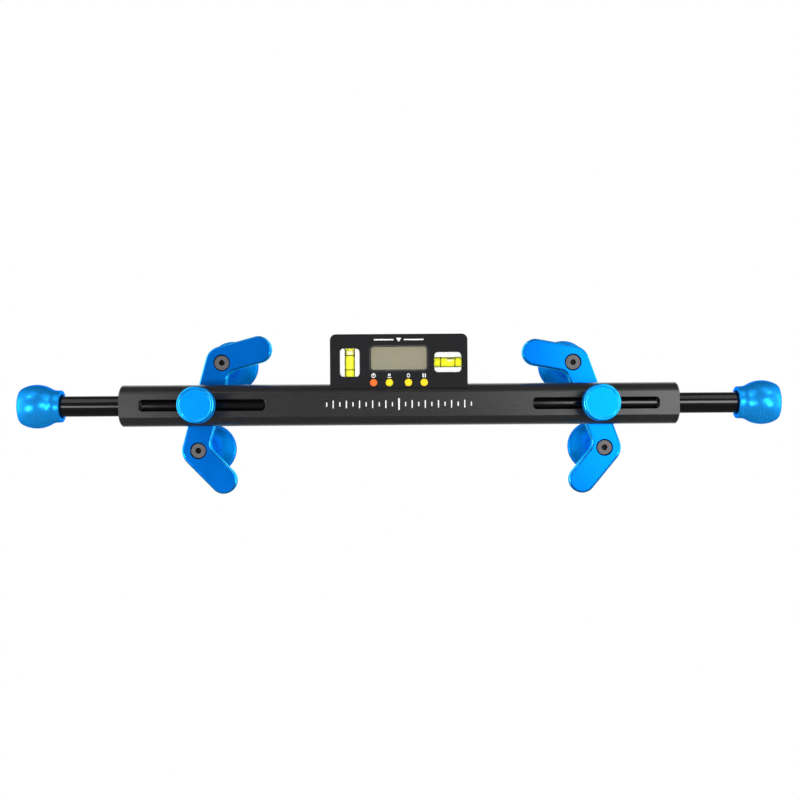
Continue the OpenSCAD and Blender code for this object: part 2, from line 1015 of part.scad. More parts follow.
// Openings of the case's front
module front_cuts() {
    boss_places()
        rod_y(case_screw_d + touch, front_inner_y + touch, past);
    post_places()
        rod_y(small_screw_d + touch, front_inner_y + touch, past);
    button_places()
        rod_y(button_d + 2 * button_gap, level_front_y - past, front_inner_y + past);
    translate([0, 0, lcd_z]) {
        front_view(level_front_y - past, level_front_y + pocket_depth)
            rounded(lcd_w + 2 * lcd_rim, lcd_h + 2 * lcd_rim, window_corner_r);
        front_view(level_front_y, front_inner_y + past)
            rounded(lcd_w, lcd_h, lcd_corner_r);
    }
    translate([-vial_x, 0, vial_z])
        front_view(level_front_y - past, front_inner_y + past)
            rounded(vial_window_w, upright_window_len, window_r);
    translate([vial_x, 0, vial_z])
        front_view(level_front_y - past, front_inner_y + past)
            rounded(level_window_len, vial_window_w, window_r);
    translate([-notch_w / 2, level_front_y - past, -past])
        cube([notch_w, notch_depth + past, notch_h + past]);
}

module level_back_shell() {
    color([0.12, 0.12, 0.13])
        on_seat()
            difference() {
                union() {
                    difference() {
                        union() {
                            front_view(0, level_rear_y - case_step) case_outline(0);
                            front_view(0, level_rear_y) case_outline(case_step);
                        }
                        front_view(-past, back_inner_y) case_outline(case_wall);
                    }
                    boss_places()
                        rod_y(boss_d, 0, back_inner_y + touch);
                    tray_box(tray_wall, tray_inner_y - tray_wall, back_inner_y + touch);
                    translate([door_screw_x, 0, battery_z])
                        rod_y(door_boss_d, back_inner_y - door_boss_len, back_inner_y + touch);
                }
                tray_box(0, tray_inner_y, level_rear_y + past);
                door_plate(0, door_inner_y, level_rear_y + past);
                translate([door_screw_x, 0, battery_z])
                    rod_y(small_screw_d + touch, back_inner_y - door_boss_len, level_rear_y);
                boss_places() {
                    rod_y(case_screw_d + 2 * hole_gap, -past, level_rear_y);
                    rod_y(case_head_d + 2 * hole_gap, case_seat_y, level_rear_y + past);
                }
                for (side = [-1, 1])
                    translate([side * vial_x, level_screw_y, -past])
                        cylinder(d = level_screw_d + touch, h = case_wall + 2 * past);
            }
}

// Box round the two batteries, grown by a wall
module tray_box(wall, y0, y1) {
    translate([battery_x, 0, battery_z])
        front_view(y0, y1)
            square([2 * (tray_half_w + wall), 2 * (tray_half_h + wall)], center = true);
}

// Battery door's outline, drawn in by a gap
module door_plate(gap, y0, y1) {
    reach = tray_half_w + tray_wall / 2 - gap;
    rise = tray_half_h + tray_wall / 2 - gap;
    translate([battery_x + door_ear / 2, 0, battery_z])
        front_view(y0, y1)
            rounded(2 * reach + door_ear, 2 * rise, door_corner_r);
}

module battery_door() {
    color([0.13, 0.13, 0.14])
        on_seat()
            difference() {
                door_plate(door_gap, door_inner_y + touch, level_rear_y);
                translate([door_screw_x, 0, battery_z]) {
                    rod_y(small_screw_d + 2 * hole_gap, 0, level_rear_y + past);
                    rod_y(
                        small_head_d + 2 * hole_gap,
                        level_rear_y - door_screw_sink - door_head_h,
                        level_rear_y + past
                    );
                }
                for (i = [0 : ridges - 1])
                    translate([battery_x - tray_half_w + ridge_inset + ridge_pitch * i, 0, battery_z])
                        front_view(level_rear_y - ridge_depth, level_rear_y + past)
                            square([ridge_w, ridge_len], center = true);
            }
}

module door_screw() {
    color([0.6, 0.6, 0.62])
        on_seat()
            translate([door_screw_x, 0, battery_z])
                pan_screw(
                    small_screw_d,
                    small_head_d,
                    door_head_h,
                    small_screw_len,
                    level_rear_y - door_screw_sink
                );
}

// Pan head screw along Y whose head's outer face lies at y
module pan_screw(d, head_d, head_h, length, y) {
    cross_len = head_d * 0.6;
    cross_w = head_d * 0.16;
    difference() {
        union() {
            rod_y(head_d, y - head_h, y);
            rod_y(d, y - head_h - length, y - head_h + touch);
        }
        for (turn = [0, 90])
            translate([0, y, 0])
                rotate([0, turn, 0])
                    cube([cross_len, head_h, cross_w], center = true);
    }
}

module case_screws() {
    color([0.2, 0.2, 0.2])
        on_seat()
            boss_places()
                pan_screw(
                    case_screw_d,
                    case_head_d,
                    case_head_h,
                    case_seat_y - case_screw_end_y,
                    case_seat_y + case_head_h
                );
}

// Place of a screw that holds the level on the bar, at the bar's axis
module level_screw_place(side) {
    translate([side * vial_x, level_screw_y, seat_h])
        children();
}

module level_screws() {
    color([0.6, 0.6, 0.62])
        for (side = [-1, 1])
            level_screw_place(side)
                difference() {
                    union() {
                        translate([0, 0, case_wall])
                            cylinder(d = level_screw_head_d, h = level_screw_head_h);
                        translate([0, 0, -level_screw_bite])
                            cylinder(d = level_screw_d, h = level_screw_bite + case_wall + touch);
                    }
                    translate([0, 0, case_wall + level_screw_head_h - level_socket_depth])
                        socket(level_socket, level_socket_depth + past);
                }
}

module lcd_window() {
    color([0.5, 0.52, 0.5, 0.4])
        on_seat()
            translate([0, 0, lcd_z])
                front_view(level_front_y + window_sink, level_front_y + pocket_depth)
                    rounded(
                        lcd_w + 2 * (lcd_rim - window_gap),
                        lcd_h + 2 * (lcd_rim - window_gap),
                        window_corner_r - window_gap
                    );
}

module lcd_panel() {
    color([0.6, 0.58, 0.48])
        on_seat()
            translate([0, 0, lcd_z])
                front_view(front_inner_y, front_inner_y + panel_t)
                    square([lcd_w + 2 * panel_margin, lcd_h + 2 * panel_margin], center = true);
}

// Cap, two ears that keep it in the case, and the stem that works its switch
module button(x) {
    on_seat()
        translate([x, 0, button_z]) {
            translate([0, level_front_y - button_proud, 0])
                turned_y() button_outline();
            front_view(front_inner_y + touch, front_inner_y + touch + ear_t)
                square([ear_w, ear_h], center = true);
            rod_y(stem_d, front_inner_y, stem_end_y);
        }
}

module button_outline() {
    length = button_proud + case_front + touch + ear_t;
    square([button_d / 2 - button_edge, length]);
    translate([0, button_edge])
        square([button_d / 2, length - button_edge - ear_t]);
    translate([button_d / 2 - button_edge, button_edge])
        circle(button_edge);
}

module power_button() {
    color([1.0, 0.43, 0.16]) button(-button_outer_x);
}

module unit_button() {
    color([1.0, 0.88, 0.18]) button(-button_inner_x);
}

module zero_button() {
    color([1.0, 0.88, 0.18]) button(button_inner_x);
}

module hold_button() {
    color([1.0, 0.88, 0.18]) button(button_outer_x);
}

// Frame of each vial: origin at its centre, its length along x
module upright_frame() {
    on_seat()
        translate([-vial_x, vial_y, vial_z])
            rotate([0, -90, 0])
                children();
}

module level_frame() {
    on_seat()
        translate([vial_x, vial_y, vial_z])
            children();
}

module vial_tube(length) {
    difference() {
        rod_x(vial_d, -length / 2, length / 2);
        rod_x(vial_d - 2 * vial_wall, -length / 2 - past, length / 2 + past);
    }
}

module upright_vial() {
    color([0.9, 0.95, 0.9, 0.35]) upright_frame() vial_tube(upright_len);
}

module level_vial() {
    color([0.9, 0.95, 0.9, 0.35]) level_frame() vial_tube(level_len);
}

// Liquid of the upright vial, with its bubble risen to the top
module upright_liquid() {
    color([0.95, 0.95, 0.0, 0.8])
        upright_frame()
            rod_x(liquid_d, vial_plug_t - upright_len / 2, upright_len / 2 - bubble_len);
}

// Liquid of the level vial, with its bubble under the top of the wall
module level_liquid() {
    half = bubble_len / 2 - bubble_r;
    rise = liquid_d / 2 - bubble_r + bubble_overlap;
    color([0.95, 0.95, 0.0, 0.8])
        level_frame()
            difference() {
                rod_x(liquid_d, vial_plug_t - level_len / 2, level_len / 2 - vial_plug_t);
                translate([bubble_shift, 0, rise]) {
                    rod_x(2 * bubble_r, -half, half);
                    for (side = [-1, 1])
                        translate([side * half, 0, 0])
                            sphere(bubble_r);
                }
            }
}

module plug_pair(length) {
    for (side = [-1, 1])
        translate([side * (length - vial_plug_t) / 2, 0, 0])
            rod_x(liquid_d, -vial_plug_t / 2, vial_plug_t / 2);
}

module vial_plugs() {
    color([0.85, 0.9, 0.3]) {
        upright_frame() plug_pair(upright_len);
        level_frame() plug_pair(level_len);
    }
}

// White seat of a vial: a block in the window, a lip behind the case's front, and a groove
module vial_holder(length) {
    window = length + 2 * holder_gap;
    difference() {
        union() {
            front_view(holder_front_y - vial_y, front_inner_y - vial_y + touch)
                rounded(window - 2 * holder_gap, vial_window_w - 2 * holder_gap, window_r - holder_gap);
            front_view(front_inner_y - vial_y, holder_back_y - vial_y)
                square([window + 2 * holder_lip, vial_window_w + 2 * holder_lip], center = true);
        }
        rod_x(vial_d + 2 * touch, -length / 2 - touch, length / 2 + touch);
        translate([-length / 2 - touch, -vial_d, -vial_d / 2 - touch])
            cube([length + 2 * touch, vial_d, vial_d + 2 * touch]);
    }
}

module upright_vial_holder() {
    color([0.95, 0.95, 0.95]) upright_frame() vial_holder(upright_len);
}

module level_vial_holder() {
    color([0.95, 0.95, 0.95]) level_frame() vial_holder(level_len);
}

module circuit_board() {
    color([0.05, 0.35, 0.2])
        on_seat()
            difference() {
                translate([0, 0, (board_low + board_high) / 2])
                    front_view(board_front_y, board_rear_y)
                        rounded(board_w, board_high - board_low, board_corner_r);
                post_places()
                    rod_y(small_screw_d + 2 * hole_gap, board_front_y - past, board_rear_y + past);
            }
}

// Tilt sensor and controller on the board's rear face
module board_chips() {
    color([0.08, 0.08, 0.08])
        on_seat()
            for (chip = [[sensor_x, sensor_w], [controller_x, controller_w]])
                translate([chip[0], 0, chip_z])
                    front_view(board_rear_y, board_rear_y + chip_t)
                        square([chip[1], chip_h], center = true);
}

module board_screws() {
    color([0.6, 0.6, 0.62])
        on_seat()
            post_places()
                pan_screw(
                    small_screw_d,
                    small_head_d,
                    small_head_h,
                    small_screw_len,
                    board_rear_y + small_head_h
                );
}

module key_switches() {
    color([0.75, 0.75, 0.77])
        on_seat()
            button_places()
                front_view(board_front_y - switch_t, board_front_y)
                    square([switch_w, switch_w], center = true);
}

module batteries() {
    color([0.85, 0.6, 0.15])
        on_seat()
            for (side = [-1, 1])
                translate([battery_x, battery_y, battery_z + side * battery_rise])
                    mirror([side > 0 ? 1 : 0, 0, 0]) {
                        rod_x(battery_d, -battery_len / 2, battery_len / 2 - battery_nub);
                        rod_x(battery_nub_d, battery_len / 2 - battery_nub - touch, battery_len / 2);
                    }
}

module battery_contacts() {
    color([0.8, 0.8, 0.82])
        on_seat()
            for (end = [-1, 1])
                for (side = [-1, 1])
                    translate([
                        battery_x + end * tray_half_w,
                        battery_y,
                        battery_z + side * battery_rise
                    ]) {
                        translate([-end * contact_t / 2, 0, 0])
                            cube([contact_t, contact_w, contact_w], center = true);
                        mirror([end > 0 ? 1 : 0, 0, 0])
                            rod_x(battery_nub_d, contact_t - touch, contact_room - touch);
                    }
}

bar();
spring_anchor_pin();
left_spring();
right_spring();
left_pull_rod();
right_pull_rod();
left_ball_knob();
right_ball_knob();
left_spring_pin();
right_spring_pin();
left_clamp_bolt();
right_clamp_bolt();
left_front_washer();
right_front_washer();
left_friction_washer();
right_friction_washer();
left_thumb_knob();
right_thumb_knob();
left_bracket_plate();
right_bracket_plate();
left_upper_spool();
left_lower_spool();
right_upper_spool();
right_lower_spool();
left_spool_screws();
right_spool_screws();
level_front_shell();
level_back_shell();
case_screws();
level_screws();
lcd_window();
lcd_panel();
power_button();
unit_button();
zero_button();
hold_button();
upright_vial();
upright_liquid();
upright_vial_holder();
level_vial();
level_liquid();
level_vial_holder();
vial_plugs();
circuit_board();
board_chips();
board_screws();
key_switches();
batteries();
battery_contacts();
battery_door();
door_screw();
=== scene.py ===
"""Dresses the digital steering wheel level.

The bar lies along X, the display faces -Y and Z is up, as in the frame. Sizes are in millimetres
where they are named, and every mesh is made in metres.
"""
import json
import math

import bmesh
import bpy
from mathutils import Matrix, Vector

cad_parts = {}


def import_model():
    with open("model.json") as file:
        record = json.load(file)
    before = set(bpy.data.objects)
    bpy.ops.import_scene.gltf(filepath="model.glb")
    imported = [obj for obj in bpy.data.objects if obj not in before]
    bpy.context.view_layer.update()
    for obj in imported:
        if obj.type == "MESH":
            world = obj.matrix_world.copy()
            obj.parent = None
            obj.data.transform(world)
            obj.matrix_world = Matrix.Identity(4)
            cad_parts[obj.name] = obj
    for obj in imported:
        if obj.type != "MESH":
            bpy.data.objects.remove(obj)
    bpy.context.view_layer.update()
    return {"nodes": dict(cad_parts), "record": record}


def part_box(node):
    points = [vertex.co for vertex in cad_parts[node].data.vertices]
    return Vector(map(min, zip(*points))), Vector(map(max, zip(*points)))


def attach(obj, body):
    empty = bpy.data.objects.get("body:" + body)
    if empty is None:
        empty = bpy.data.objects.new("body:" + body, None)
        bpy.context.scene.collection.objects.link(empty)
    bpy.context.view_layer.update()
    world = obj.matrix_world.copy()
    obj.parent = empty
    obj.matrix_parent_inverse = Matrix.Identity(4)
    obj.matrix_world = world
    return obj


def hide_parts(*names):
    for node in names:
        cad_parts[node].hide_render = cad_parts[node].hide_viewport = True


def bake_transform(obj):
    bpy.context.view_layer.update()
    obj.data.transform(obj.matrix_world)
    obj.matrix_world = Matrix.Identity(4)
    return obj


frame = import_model()

MM = 0.001
SIDE_NAME = {-1: "left", 1: "right"}
BODY_OF = {
    node: body
    for body, nodes in frame["record"]["behaviour"]["bodies"].items()
    for node in nodes
}


def low(node, axis):
    """Lowest coordinate of a node in millimetres, axis 0 to 2 for x to z."""
    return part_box(node)[0][axis] / MM


def high(node, axis):
    """Highest coordinate of a node in millimetres."""
    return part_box(node)[1][axis] / MM


def middle(node):
    """Middle of a node's box in millimetres."""
    a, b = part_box(node)
    return (a + b) / 2 / MM


def front_view(node):
    """Middle x and z, half width and half height of a node as seen from the front."""
    x0, x1, z0, z1 = low(node, 0), high(node, 0), low(node, 2), high(node, 2)
    return (x0 + x1) / 2, (z0 + z1) / 2, (x1 - x0) / 2, (z1 - z0) / 2


KEYS = ("power_button", "unit_button", "zero_button", "hold_button")

# How far a cutter runs past the faces that it cuts
PAST = 2
# Bar: the sizes that its box doesn't give are repeated from the real part
BAR_END = high("bar", 0)
BAR_R = -low("bar", 2)
FLAT_Y = high("bar", 1)
SEAT_Z = low("level_front_shell", 2)
CLAMP_X = middle("right_thumb_knob")[0]
SLOT_X = BAR_END - 63.5
SLOT_LEN = 96.5
SLOT_W = 8.8
SLOT_R = 3
BORE_R = 8.08
PIN_HOLE_R = 1.51
SEAT_GAP = 0.25

# Rod and knobs
ROD_R = high("right_pull_rod", 2)
ROD_PIN_X = middle("right_spring_pin")[0]
BALL_OUT = high("right_ball_knob", 0)
COLLAR_X = low("right_ball_knob", 0)
BALL_RECESS = 8
SPIGOT_LEN = 14
THUMB_FACE_Y = low("right_thumb_knob", 1)
THUMB_REAR_Y = high("right_thumb_knob", 1)
THUMB_R = high("right_thumb_knob", 2)
BOLT_HOLE_R = 4.05

# Bracket plate, drawn with x towards the bar's centre and z up, from the clamp bolt
STRAP_W = 20.7
ARM_W = 21.2
ELBOW_H = 36.9
ELBOW_R = 13.05
FORK_R = 7.5
ARM_REACH = 32
ARM_ANGLE = math.radians(30.5)
PLATE_EDGE = 1.8
PLATE_FRONT_Y = low("right_bracket_plate", 1)
PLATE_REAR_Y = high("right_bracket_plate", 1)
SCREW_X = ELBOW_R - STRAP_W / 2
SCREW_H = ELBOW_H + (ARM_W / 2 - ELBOW_R + SCREW_X * math.sin(ARM_ANGLE)) / math.cos(ARM_ANGLE)
SCREW_HEAD_R = 5.8
SCREW_SINK = 0.7
SCREW_SOCKET = 4

# Digital level
LEVEL_HALF = high("level_front_shell", 0)
LEVEL_TOP = high("level_front_shell", 2)
LEVEL_FRONT_Y = low("level_front_shell", 1)
LEVEL_REAR_Y = high("level_back_shell", 1)
LEVEL_R = 4.5
FOOT_R = 1
CASE_STEP = 0.8
CASE_WALL = 1.5
CASE_FRONT = 2
CASE_INNER_Y = LEVEL_FRONT_Y + CASE_FRONT
CASE_BACK = 2.8
CASE_SCREW_R = 2.3
DOOR_CORNER = 1.35
LCD_Z = middle("lcd_panel")[2]
LCD_HALF_W = 21.2
LCD_HALF_H = 8.7
LCD_RIM = 1.5
LCD_CORNER = 2.2
LCD_POCKET = 1.2
KEY_R = 2.8
VIAL_X = middle("level_vial")[0]
VIAL_Y = middle("level_vial")[1]
VIAL_Z = middle("level_vial")[2]
VIAL_R = high("level_vial", 2) - VIAL_Z
VIAL_WALL = 0.8
VIAL_PLUG = 1.2
DYE_R = VIAL_R - VIAL_WALL - 0.03
BUBBLE_LEN = 5.4
BUBBLE_X = 1.6
VIAL_WINDOW_W = 15.5
UPRIGHT_WINDOW_LEN = 21.7
LEVEL_WINDOW_LEN = 20.9
WINDOW_R = 2.8
HOLDER_GAP = 0.15


# Node trees

class Signal:
    """A socket of a node tree; sums on it add Math nodes."""

    def __init__(self, tree, socket):
        self.tree = tree
        self.socket = socket

    def maths(self, operation, *others):
        inputs = dict(enumerate((self,) + others))
        return self.tree.node("ShaderNodeMath", {"operation": operation}, inputs)

    def __add__(self, other):
        return self.maths("ADD", other)

    def __mul__(self, other):
        return self.maths("MULTIPLY", other)

    def __sub__(self, other):
        return self.maths("SUBTRACT", other)

    def __rsub__(self, other):
        return self.tree.node("ShaderNodeMath", {"operation": "SUBTRACT"}, {0: other, 1: self})

    def __gt__(self, other):
        return self.maths("GREATER_THAN", other)

    def __lt__(self, other):
        return self.maths("LESS_THAN", other)

    def __abs__(self):
        return self.maths("ABSOLUTE")

    __radd__ = __add__
    __rmul__ = __mul__


class Tree:
    """A node tree with one way to add a node."""

    def __init__(self, tree):
        self.tree = tree

    def plug(self, socket, value):
        if isinstance(value, Signal):
            self.tree.links.new(value.socket, socket)
        else:
            socket.default_value = value

    def node(self, kind, settings=None, inputs=None, out=0):
        made = self.tree.nodes.new(kind)
        for key, value in (settings or {}).items():
            if key == "stops":
                fill_ramp(made.color_ramp, value)
            else:
                setattr(made, key, value)
        for key, value in (inputs or {}).items():
            self.plug(made.inputs[key], value)
        return Signal(self, made.outputs[out])

    def outs(self, signal, *keys):
        """Several outputs of the node that the signal comes from."""
        return [Signal(self, signal.socket.node.outputs[key]) for key in keys]

    def split(self, vector):
        """A vector's x, y and z as three signals."""
        return self.outs(self.node("ShaderNodeSeparateXYZ", inputs={"Vector": vector}), 0, 1, 2)

    def rise(self, value, start, end, low_end=0.0):
        """Climbs gently to 1 as the value goes from start to end."""
        return self.node("ShaderNodeMapRange", {"interpolation_type": "SMOOTHSTEP"},
                         {"Value": value, "From Min": start, "From Max": end, "To Min": low_end})


def fill_ramp(ramp, stops):
    """Sets a colour ramp to (position, colour) stops, in rising order."""
    for element in list(ramp.elements)[1:]:
        ramp.elements.remove(element)
    ramp.elements[0].position, ramp.elements[0].color = stops[0]
    for position, shade in stops[1:]:
        ramp.elements.new(position).color = shade


class Finish(Tree):
    """A procedural material: one shader and the pattern that feeds it."""

    def __init__(self, name, **fixed):
        self.name = name
        self.material = bpy.data.materials.new(name)
        self.material.use_nodes = True
        super().__init__(self.material.node_tree)
        self.shader = self.tree.nodes["Principled BSDF"]
        for key, value in fixed.items():
            self.shader.inputs[key.replace("_", " ")].default_value = value

    def feed(self, **signals):
        for key, signal in signals.items():
            self.plug(self.shader.inputs[key.replace("_", " ")], signal)
        return self

    def place(self, stretch=(1, 1, 1)):
        """Object coordinates, stretched."""
        spot = self.node("ShaderNodeTexCoord", out="Object")
        return self.node("ShaderNodeMapping", {"vector_type": "POINT"}, {"Vector": spot, "Scale": stretch})

    def axes(self):
        """Object x, y and z as three signals."""
        return self.split(self.place())

    def noise(self, vector, scale, detail=3.0, roughness=0.5):
        inputs = {"Vector": vector, "Scale": scale, "Detail": detail, "Roughness": roughness}
        return self.node("ShaderNodeTexNoise", inputs=inputs)

    def mix(self, amount, first, second):
        """Colour between first and second."""
        settings = {"data_type": "RGBA", "blend_type": "MIX"}
        return self.node("ShaderNodeMix", settings, {0: amount, 6: first, 7: second}, out=2)

    def ramp(self, amount, *stops):
        return self.node("ShaderNodeValToRGB", {"stops": stops}, {0: amount})

    def bump(self, height, distance, strength=1.0):
        inputs = {"Height": height, "Distance": distance, "Strength": strength}
        return self.feed(Normal=self.node("ShaderNodeBump", inputs=inputs))


def rgb(red, green, blue):
    return (red, green, blue, 1.0)


# Finishes

ANODISED_TINT = rgb(0.02, 0.30, 0.90)


def turned_blue(name, dark, bright, rough, metallic):
    """Blue anodised aluminium off a lathe: fine rings that follow the outline."""
    finish = Finish(name, Metallic=metallic, Specular_Tint=ANODISED_TINT, Specular_IOR_Level=0.0)
    _, run, _ = finish.split(finish.node("ShaderNodeUVMap", {"uv_map": "turned"}))
    rings, broad = [
        finish.node("ShaderNodeTexNoise", {"noise_dimensions": "1D"},
                    {"W": run, "Scale": scale, "Detail": detail})
        for scale, detail in ((5200.0, 2.0), (700.0, 1.0))
    ]
    cloud = finish.noise(finish.place(), 60.0, 2.0)
    finish.feed(
        Base_Color=finish.mix(broad * 0.5 + cloud * 0.5, dark, bright),
        Roughness=rings * 0.06 + cloud * 0.04 + rough,
    )
    return finish.bump(rings * 0.6 + broad * 0.4, 0.00002, 0.35)


def plate_blue():
    """Satin blue anodised plate: a fine blasted grain with a faint upright streak."""
    finish = Finish("plate_blue", Metallic=0.43, Specular_Tint=ANODISED_TINT, Specular_IOR_Level=0.0)
    streak = finish.noise(finish.place((1.0, 1.0, 0.12)), 90.0, 2.0)
    grain = finish.noise(finish.place(), 3800.0, 2.0)
    finish.feed(
        Base_Color=finish.mix(streak, rgb(0.001, 0.17, 0.72), rgb(0.001, 0.205, 0.84)),
        Roughness=streak * 0.08 + grain * 0.04 + 0.10,
    )
    return finish.bump(grain, 0.00002, 0.12)


def bar_black():
    """Satin black anodised tube with a drawn grain along its length."""
    finish = Finish("bar_black", Specular_IOR_Level=0.52)
    drawn = finish.noise(finish.place((0.02, 1.0, 1.0)), 2600.0, 3.0)
    cloud = finish.noise(finish.place((0.3, 1.0, 1.0)), 40.0, 2.0)
    grain = finish.noise(finish.place(), 4200.0, 2.0)
    finish.feed(
        Base_Color=finish.mix(cloud * 0.6 + drawn * 0.4,
                              rgb(0.013, 0.013, 0.014), rgb(0.021, 0.021, 0.022)),
        Roughness=cloud * 0.06 + drawn * 0.06 + 0.22,
    )
    return finish.bump(drawn * 0.6 + grain * 0.4, 0.00002, 0.15)


def rod_black():
    """Polished black rod."""
    finish = Finish("rod_black", Specular_IOR_Level=0.56)
    wear = finish.noise(finish.place((0.05, 1.0, 1.0)), 900.0, 3.0)
    finish.feed(
        Base_Color=finish.mix(wear, rgb(0.002, 0.002, 0.0025), rgb(0.004, 0.0035, 0.004)),
        Roughness=wear * 0.08 + 0.10,
    )
    return finish.bump(wear, 0.00001, 0.2)


def metal(name, dark, bright, rough, scale, tint=(1.0, 1.0, 1.0)):
    """Bare or plated metal with light marks of handling; it also makes the brighter blue of the painted
    edge highlights and the near black of the painted shade.
    """
    finish = Finish(name, Metallic=1.0, Specular_Tint=rgb(*tint))
    cloud = finish.noise(finish.place(), scale, 4.0, 0.6)
    fine = finish.noise(finish.place(), scale * 9, 2.0)
    finish.feed(Base_Color=finish.mix(cloud, dark, bright), Roughness=cloud * 0.15 + fine * 0.08 + rough)
    return finish.bump(fine, 0.00002, 0.25)


def moulded(name, dark, bright, rough, texture=0.5, shine=0.5):
    """Moulded plastic with a spark-eroded texture."""
    finish = Finish(name, Specular_IOR_Level=shine)
    cloud = finish.noise(finish.place(), 55.0, 2.0)
    skin = finish.noise(finish.place(), 2600.0, 3.0, 0.6)
    finish.feed(Base_Color=finish.mix(cloud * 0.5 + skin * 0.5, dark, bright),
                Roughness=skin * 0.12 + rough)
    return finish.bump(skin, 0.00004, texture)


def lcd_face():
    """Blank display: an olive grey reflector with a fine grid of cells, and painted shade that darkens it
    towards the right and the top.
    """
    finish = Finish("lcd_face", Specular_IOR_Level=0.1)
    x, _, z = finish.axes()
    cloud = finish.noise(finish.place(), 30.0, 1.0)
    speck = finish.noise(finish.place(), 5200.0, 1.0)
    # Painted shade: the colour darkens towards the right and the top.
    lean = x * 6.0 + z * 4.0 + cloud * 0.25 + speck * 0.10 + 0.15
    finish.feed(
        Base_Color=finish.mix(lean, rgb(0.262, 0.236, 0.125), rgb(0.222, 0.190, 0.108)),
        Roughness=speck * 0.1 + 0.42,
    )
    return finish


def clear_sheet(name, tint, alpha, rough):
    """Clear plastic that shows mostly by its shine."""
    finish = Finish(name, Specular_IOR_Level=0.3)
    haze = finish.noise(finish.place(), 300.0, 2.0)
    finish.feed(Base_Color=finish.mix(haze, tint, rgb(*[min(1.0, c * 1.06) for c in tint[:3]])),
                Roughness=haze * 0.04 + rough, Alpha=haze * 0.03 + alpha)
    return finish


def behind_front(finish):
    """How far a point of a vial's filling lies behind its front line: 0 there, 1 level with the axis; the
    painted shade of the dye and of the bubble follows it.
    """
    _, y, _ = finish.axes()
    return (y * (1 / MM) - VIAL_Y) * (1 / (VIAL_R - VIAL_WALL)) + 1.0


def vial_yellow():
    """Yellow dye with a painted glow, and painted shade that turns it greener and darker towards the walls.
    """
    finish = Finish("vial_yellow", Emission_Strength=0.10, Specular_IOR_Level=0.4)
    cloud = finish.noise(finish.place(), 260.0, 2.0)
    depth = behind_front(finish) * 0.8 + cloud * 0.15
    dye = finish.mix(depth, rgb(1.0, 0.93, 0.0), rgb(0.62, 0.78, 0.0))
    finish.feed(Base_Color=dye, Emission_Color=dye, Roughness=cloud * 0.1 + 0.15)
    return finish


def bubble_clear():
    """Air bubble: pale in the middle, with painted shade that darkens it to near black at its sides."""
    finish = Finish("bubble_clear", Roughness=0.05)
    cloud = finish.noise(finish.place(), 300.0, 1.0)
    return finish.feed(Base_Color=finish.ramp(
        behind_front(finish) + cloud * 0.04,
        (0.0, rgb(1.0, 0.98, 0.80)), (0.50, rgb(0.90, 0.90, 0.50)),
        (0.70, rgb(0.10, 0.14, 0.02)), (1.0, rgb(0.02, 0.03, 0.01)),
    ))


def printed(name, fresh, worn, shine=0.5):
    """Ink printed on the surface, a little uneven; the black inks also serve as painted shade on the
    display's pocket walls and along the level bubble's top edge.
    """
    finish = Finish(name, Specular_IOR_Level=shine)
    patch = finish.noise(finish.place(), 900.0, 3.0)
    finish.feed(Base_Color=finish.mix(patch, fresh, worn), Roughness=patch * 0.15 + 0.4)
    return finish


FINISHES = {finish.name: finish for finish in (
    turned_blue("ball_blue", rgb(0.010, 0.33, 0.96), rgb(0.016, 0.38, 1.0), 0.22, 0.55),
    turned_blue("spool_blue", rgb(0.002, 0.24, 0.80), rgb(0.003, 0.29, 0.90), 0.22, 0.5),
    turned_blue("knob_blue", rgb(0.002, 0.29, 0.90), rgb(0.002, 0.33, 0.96), 0.24, 0.4),
    plate_blue(),
    bar_black(),
    rod_black(),
    # The next blue is a painted highlight for rounded plate edges and the knobs' rims.
    metal("edge_blue", rgb(0.02, 0.46, 0.90), rgb(0.06, 0.56, 0.98), 0.14, 300.0, (0.08, 0.60, 1.0)),
    metal("screw_dark", rgb(0.095, 0.088, 0.092), rgb(0.17, 0.162, 0.172), 0.38, 500.0),
    metal("steel", rgb(0.50, 0.50, 0.51), rgb(0.66, 0.66, 0.68), 0.26, 400.0),
    metal("shadow_black", rgb(0.004, 0.004, 0.004), rgb(0.02, 0.02, 0.02), 0.3, 700.0),
    moulded("rubber", rgb(0.010, 0.010, 0.010), rgb(0.022, 0.022, 0.022), 0.7),
    moulded("case_black", rgb(0.006, 0.006, 0.007), rgb(0.013, 0.013, 0.015), 0.45, 0.35, shine=0.15),
    # Black print for the display's border, also used as painted shade on the pocket walls round the
    # display.
    printed("window_black", rgb(0.002, 0.002, 0.002), rgb(0.006, 0.006, 0.005), 0.05),
    lcd_face(),
    clear_sheet("lcd_clear", rgb(0.8, 0.82, 0.8), 0.05, 0.05),
    moulded("button_orange", rgb(1.0, 0.145, 0.018), rgb(0.95, 0.19, 0.03), 0.35, 0.2, shine=0.2),
    moulded("button_yellow", rgb(1.0, 0.76, 0.014), rgb(0.98, 0.68, 0.02), 0.35, 0.2, shine=0.2),
    clear_sheet("vial_clear", rgb(0.93, 0.95, 0.12), 0.12, 0.03),
    vial_yellow(),
    bubble_clear(),
    moulded("holder_white", rgb(0.94, 0.94, 0.93), rgb(0.97, 0.97, 0.96), 0.4, 0.1),
    printed("print_white", rgb(0.95, 0.95, 0.95), rgb(0.80, 0.80, 0.81)),
    # Dark print for the vials' bands, also used as painted shade along the level bubble's top edge.
    printed("print_black", rgb(0.03, 0.04, 0.002), rgb(0.06, 0.065, 0.004), 0.2),
    moulded("board_green", rgb(0.004, 0.085, 0.032), rgb(0.006, 0.12, 0.05), 0.35, 0.2),
    moulded("chip_black", rgb(0.010, 0.010, 0.010), rgb(0.02, 0.02, 0.02), 0.55),
    moulded("battery_wrap", rgb(0.48, 0.24, 0.02), rgb(0.60, 0.32, 0.04), 0.3, 0.1),
)}


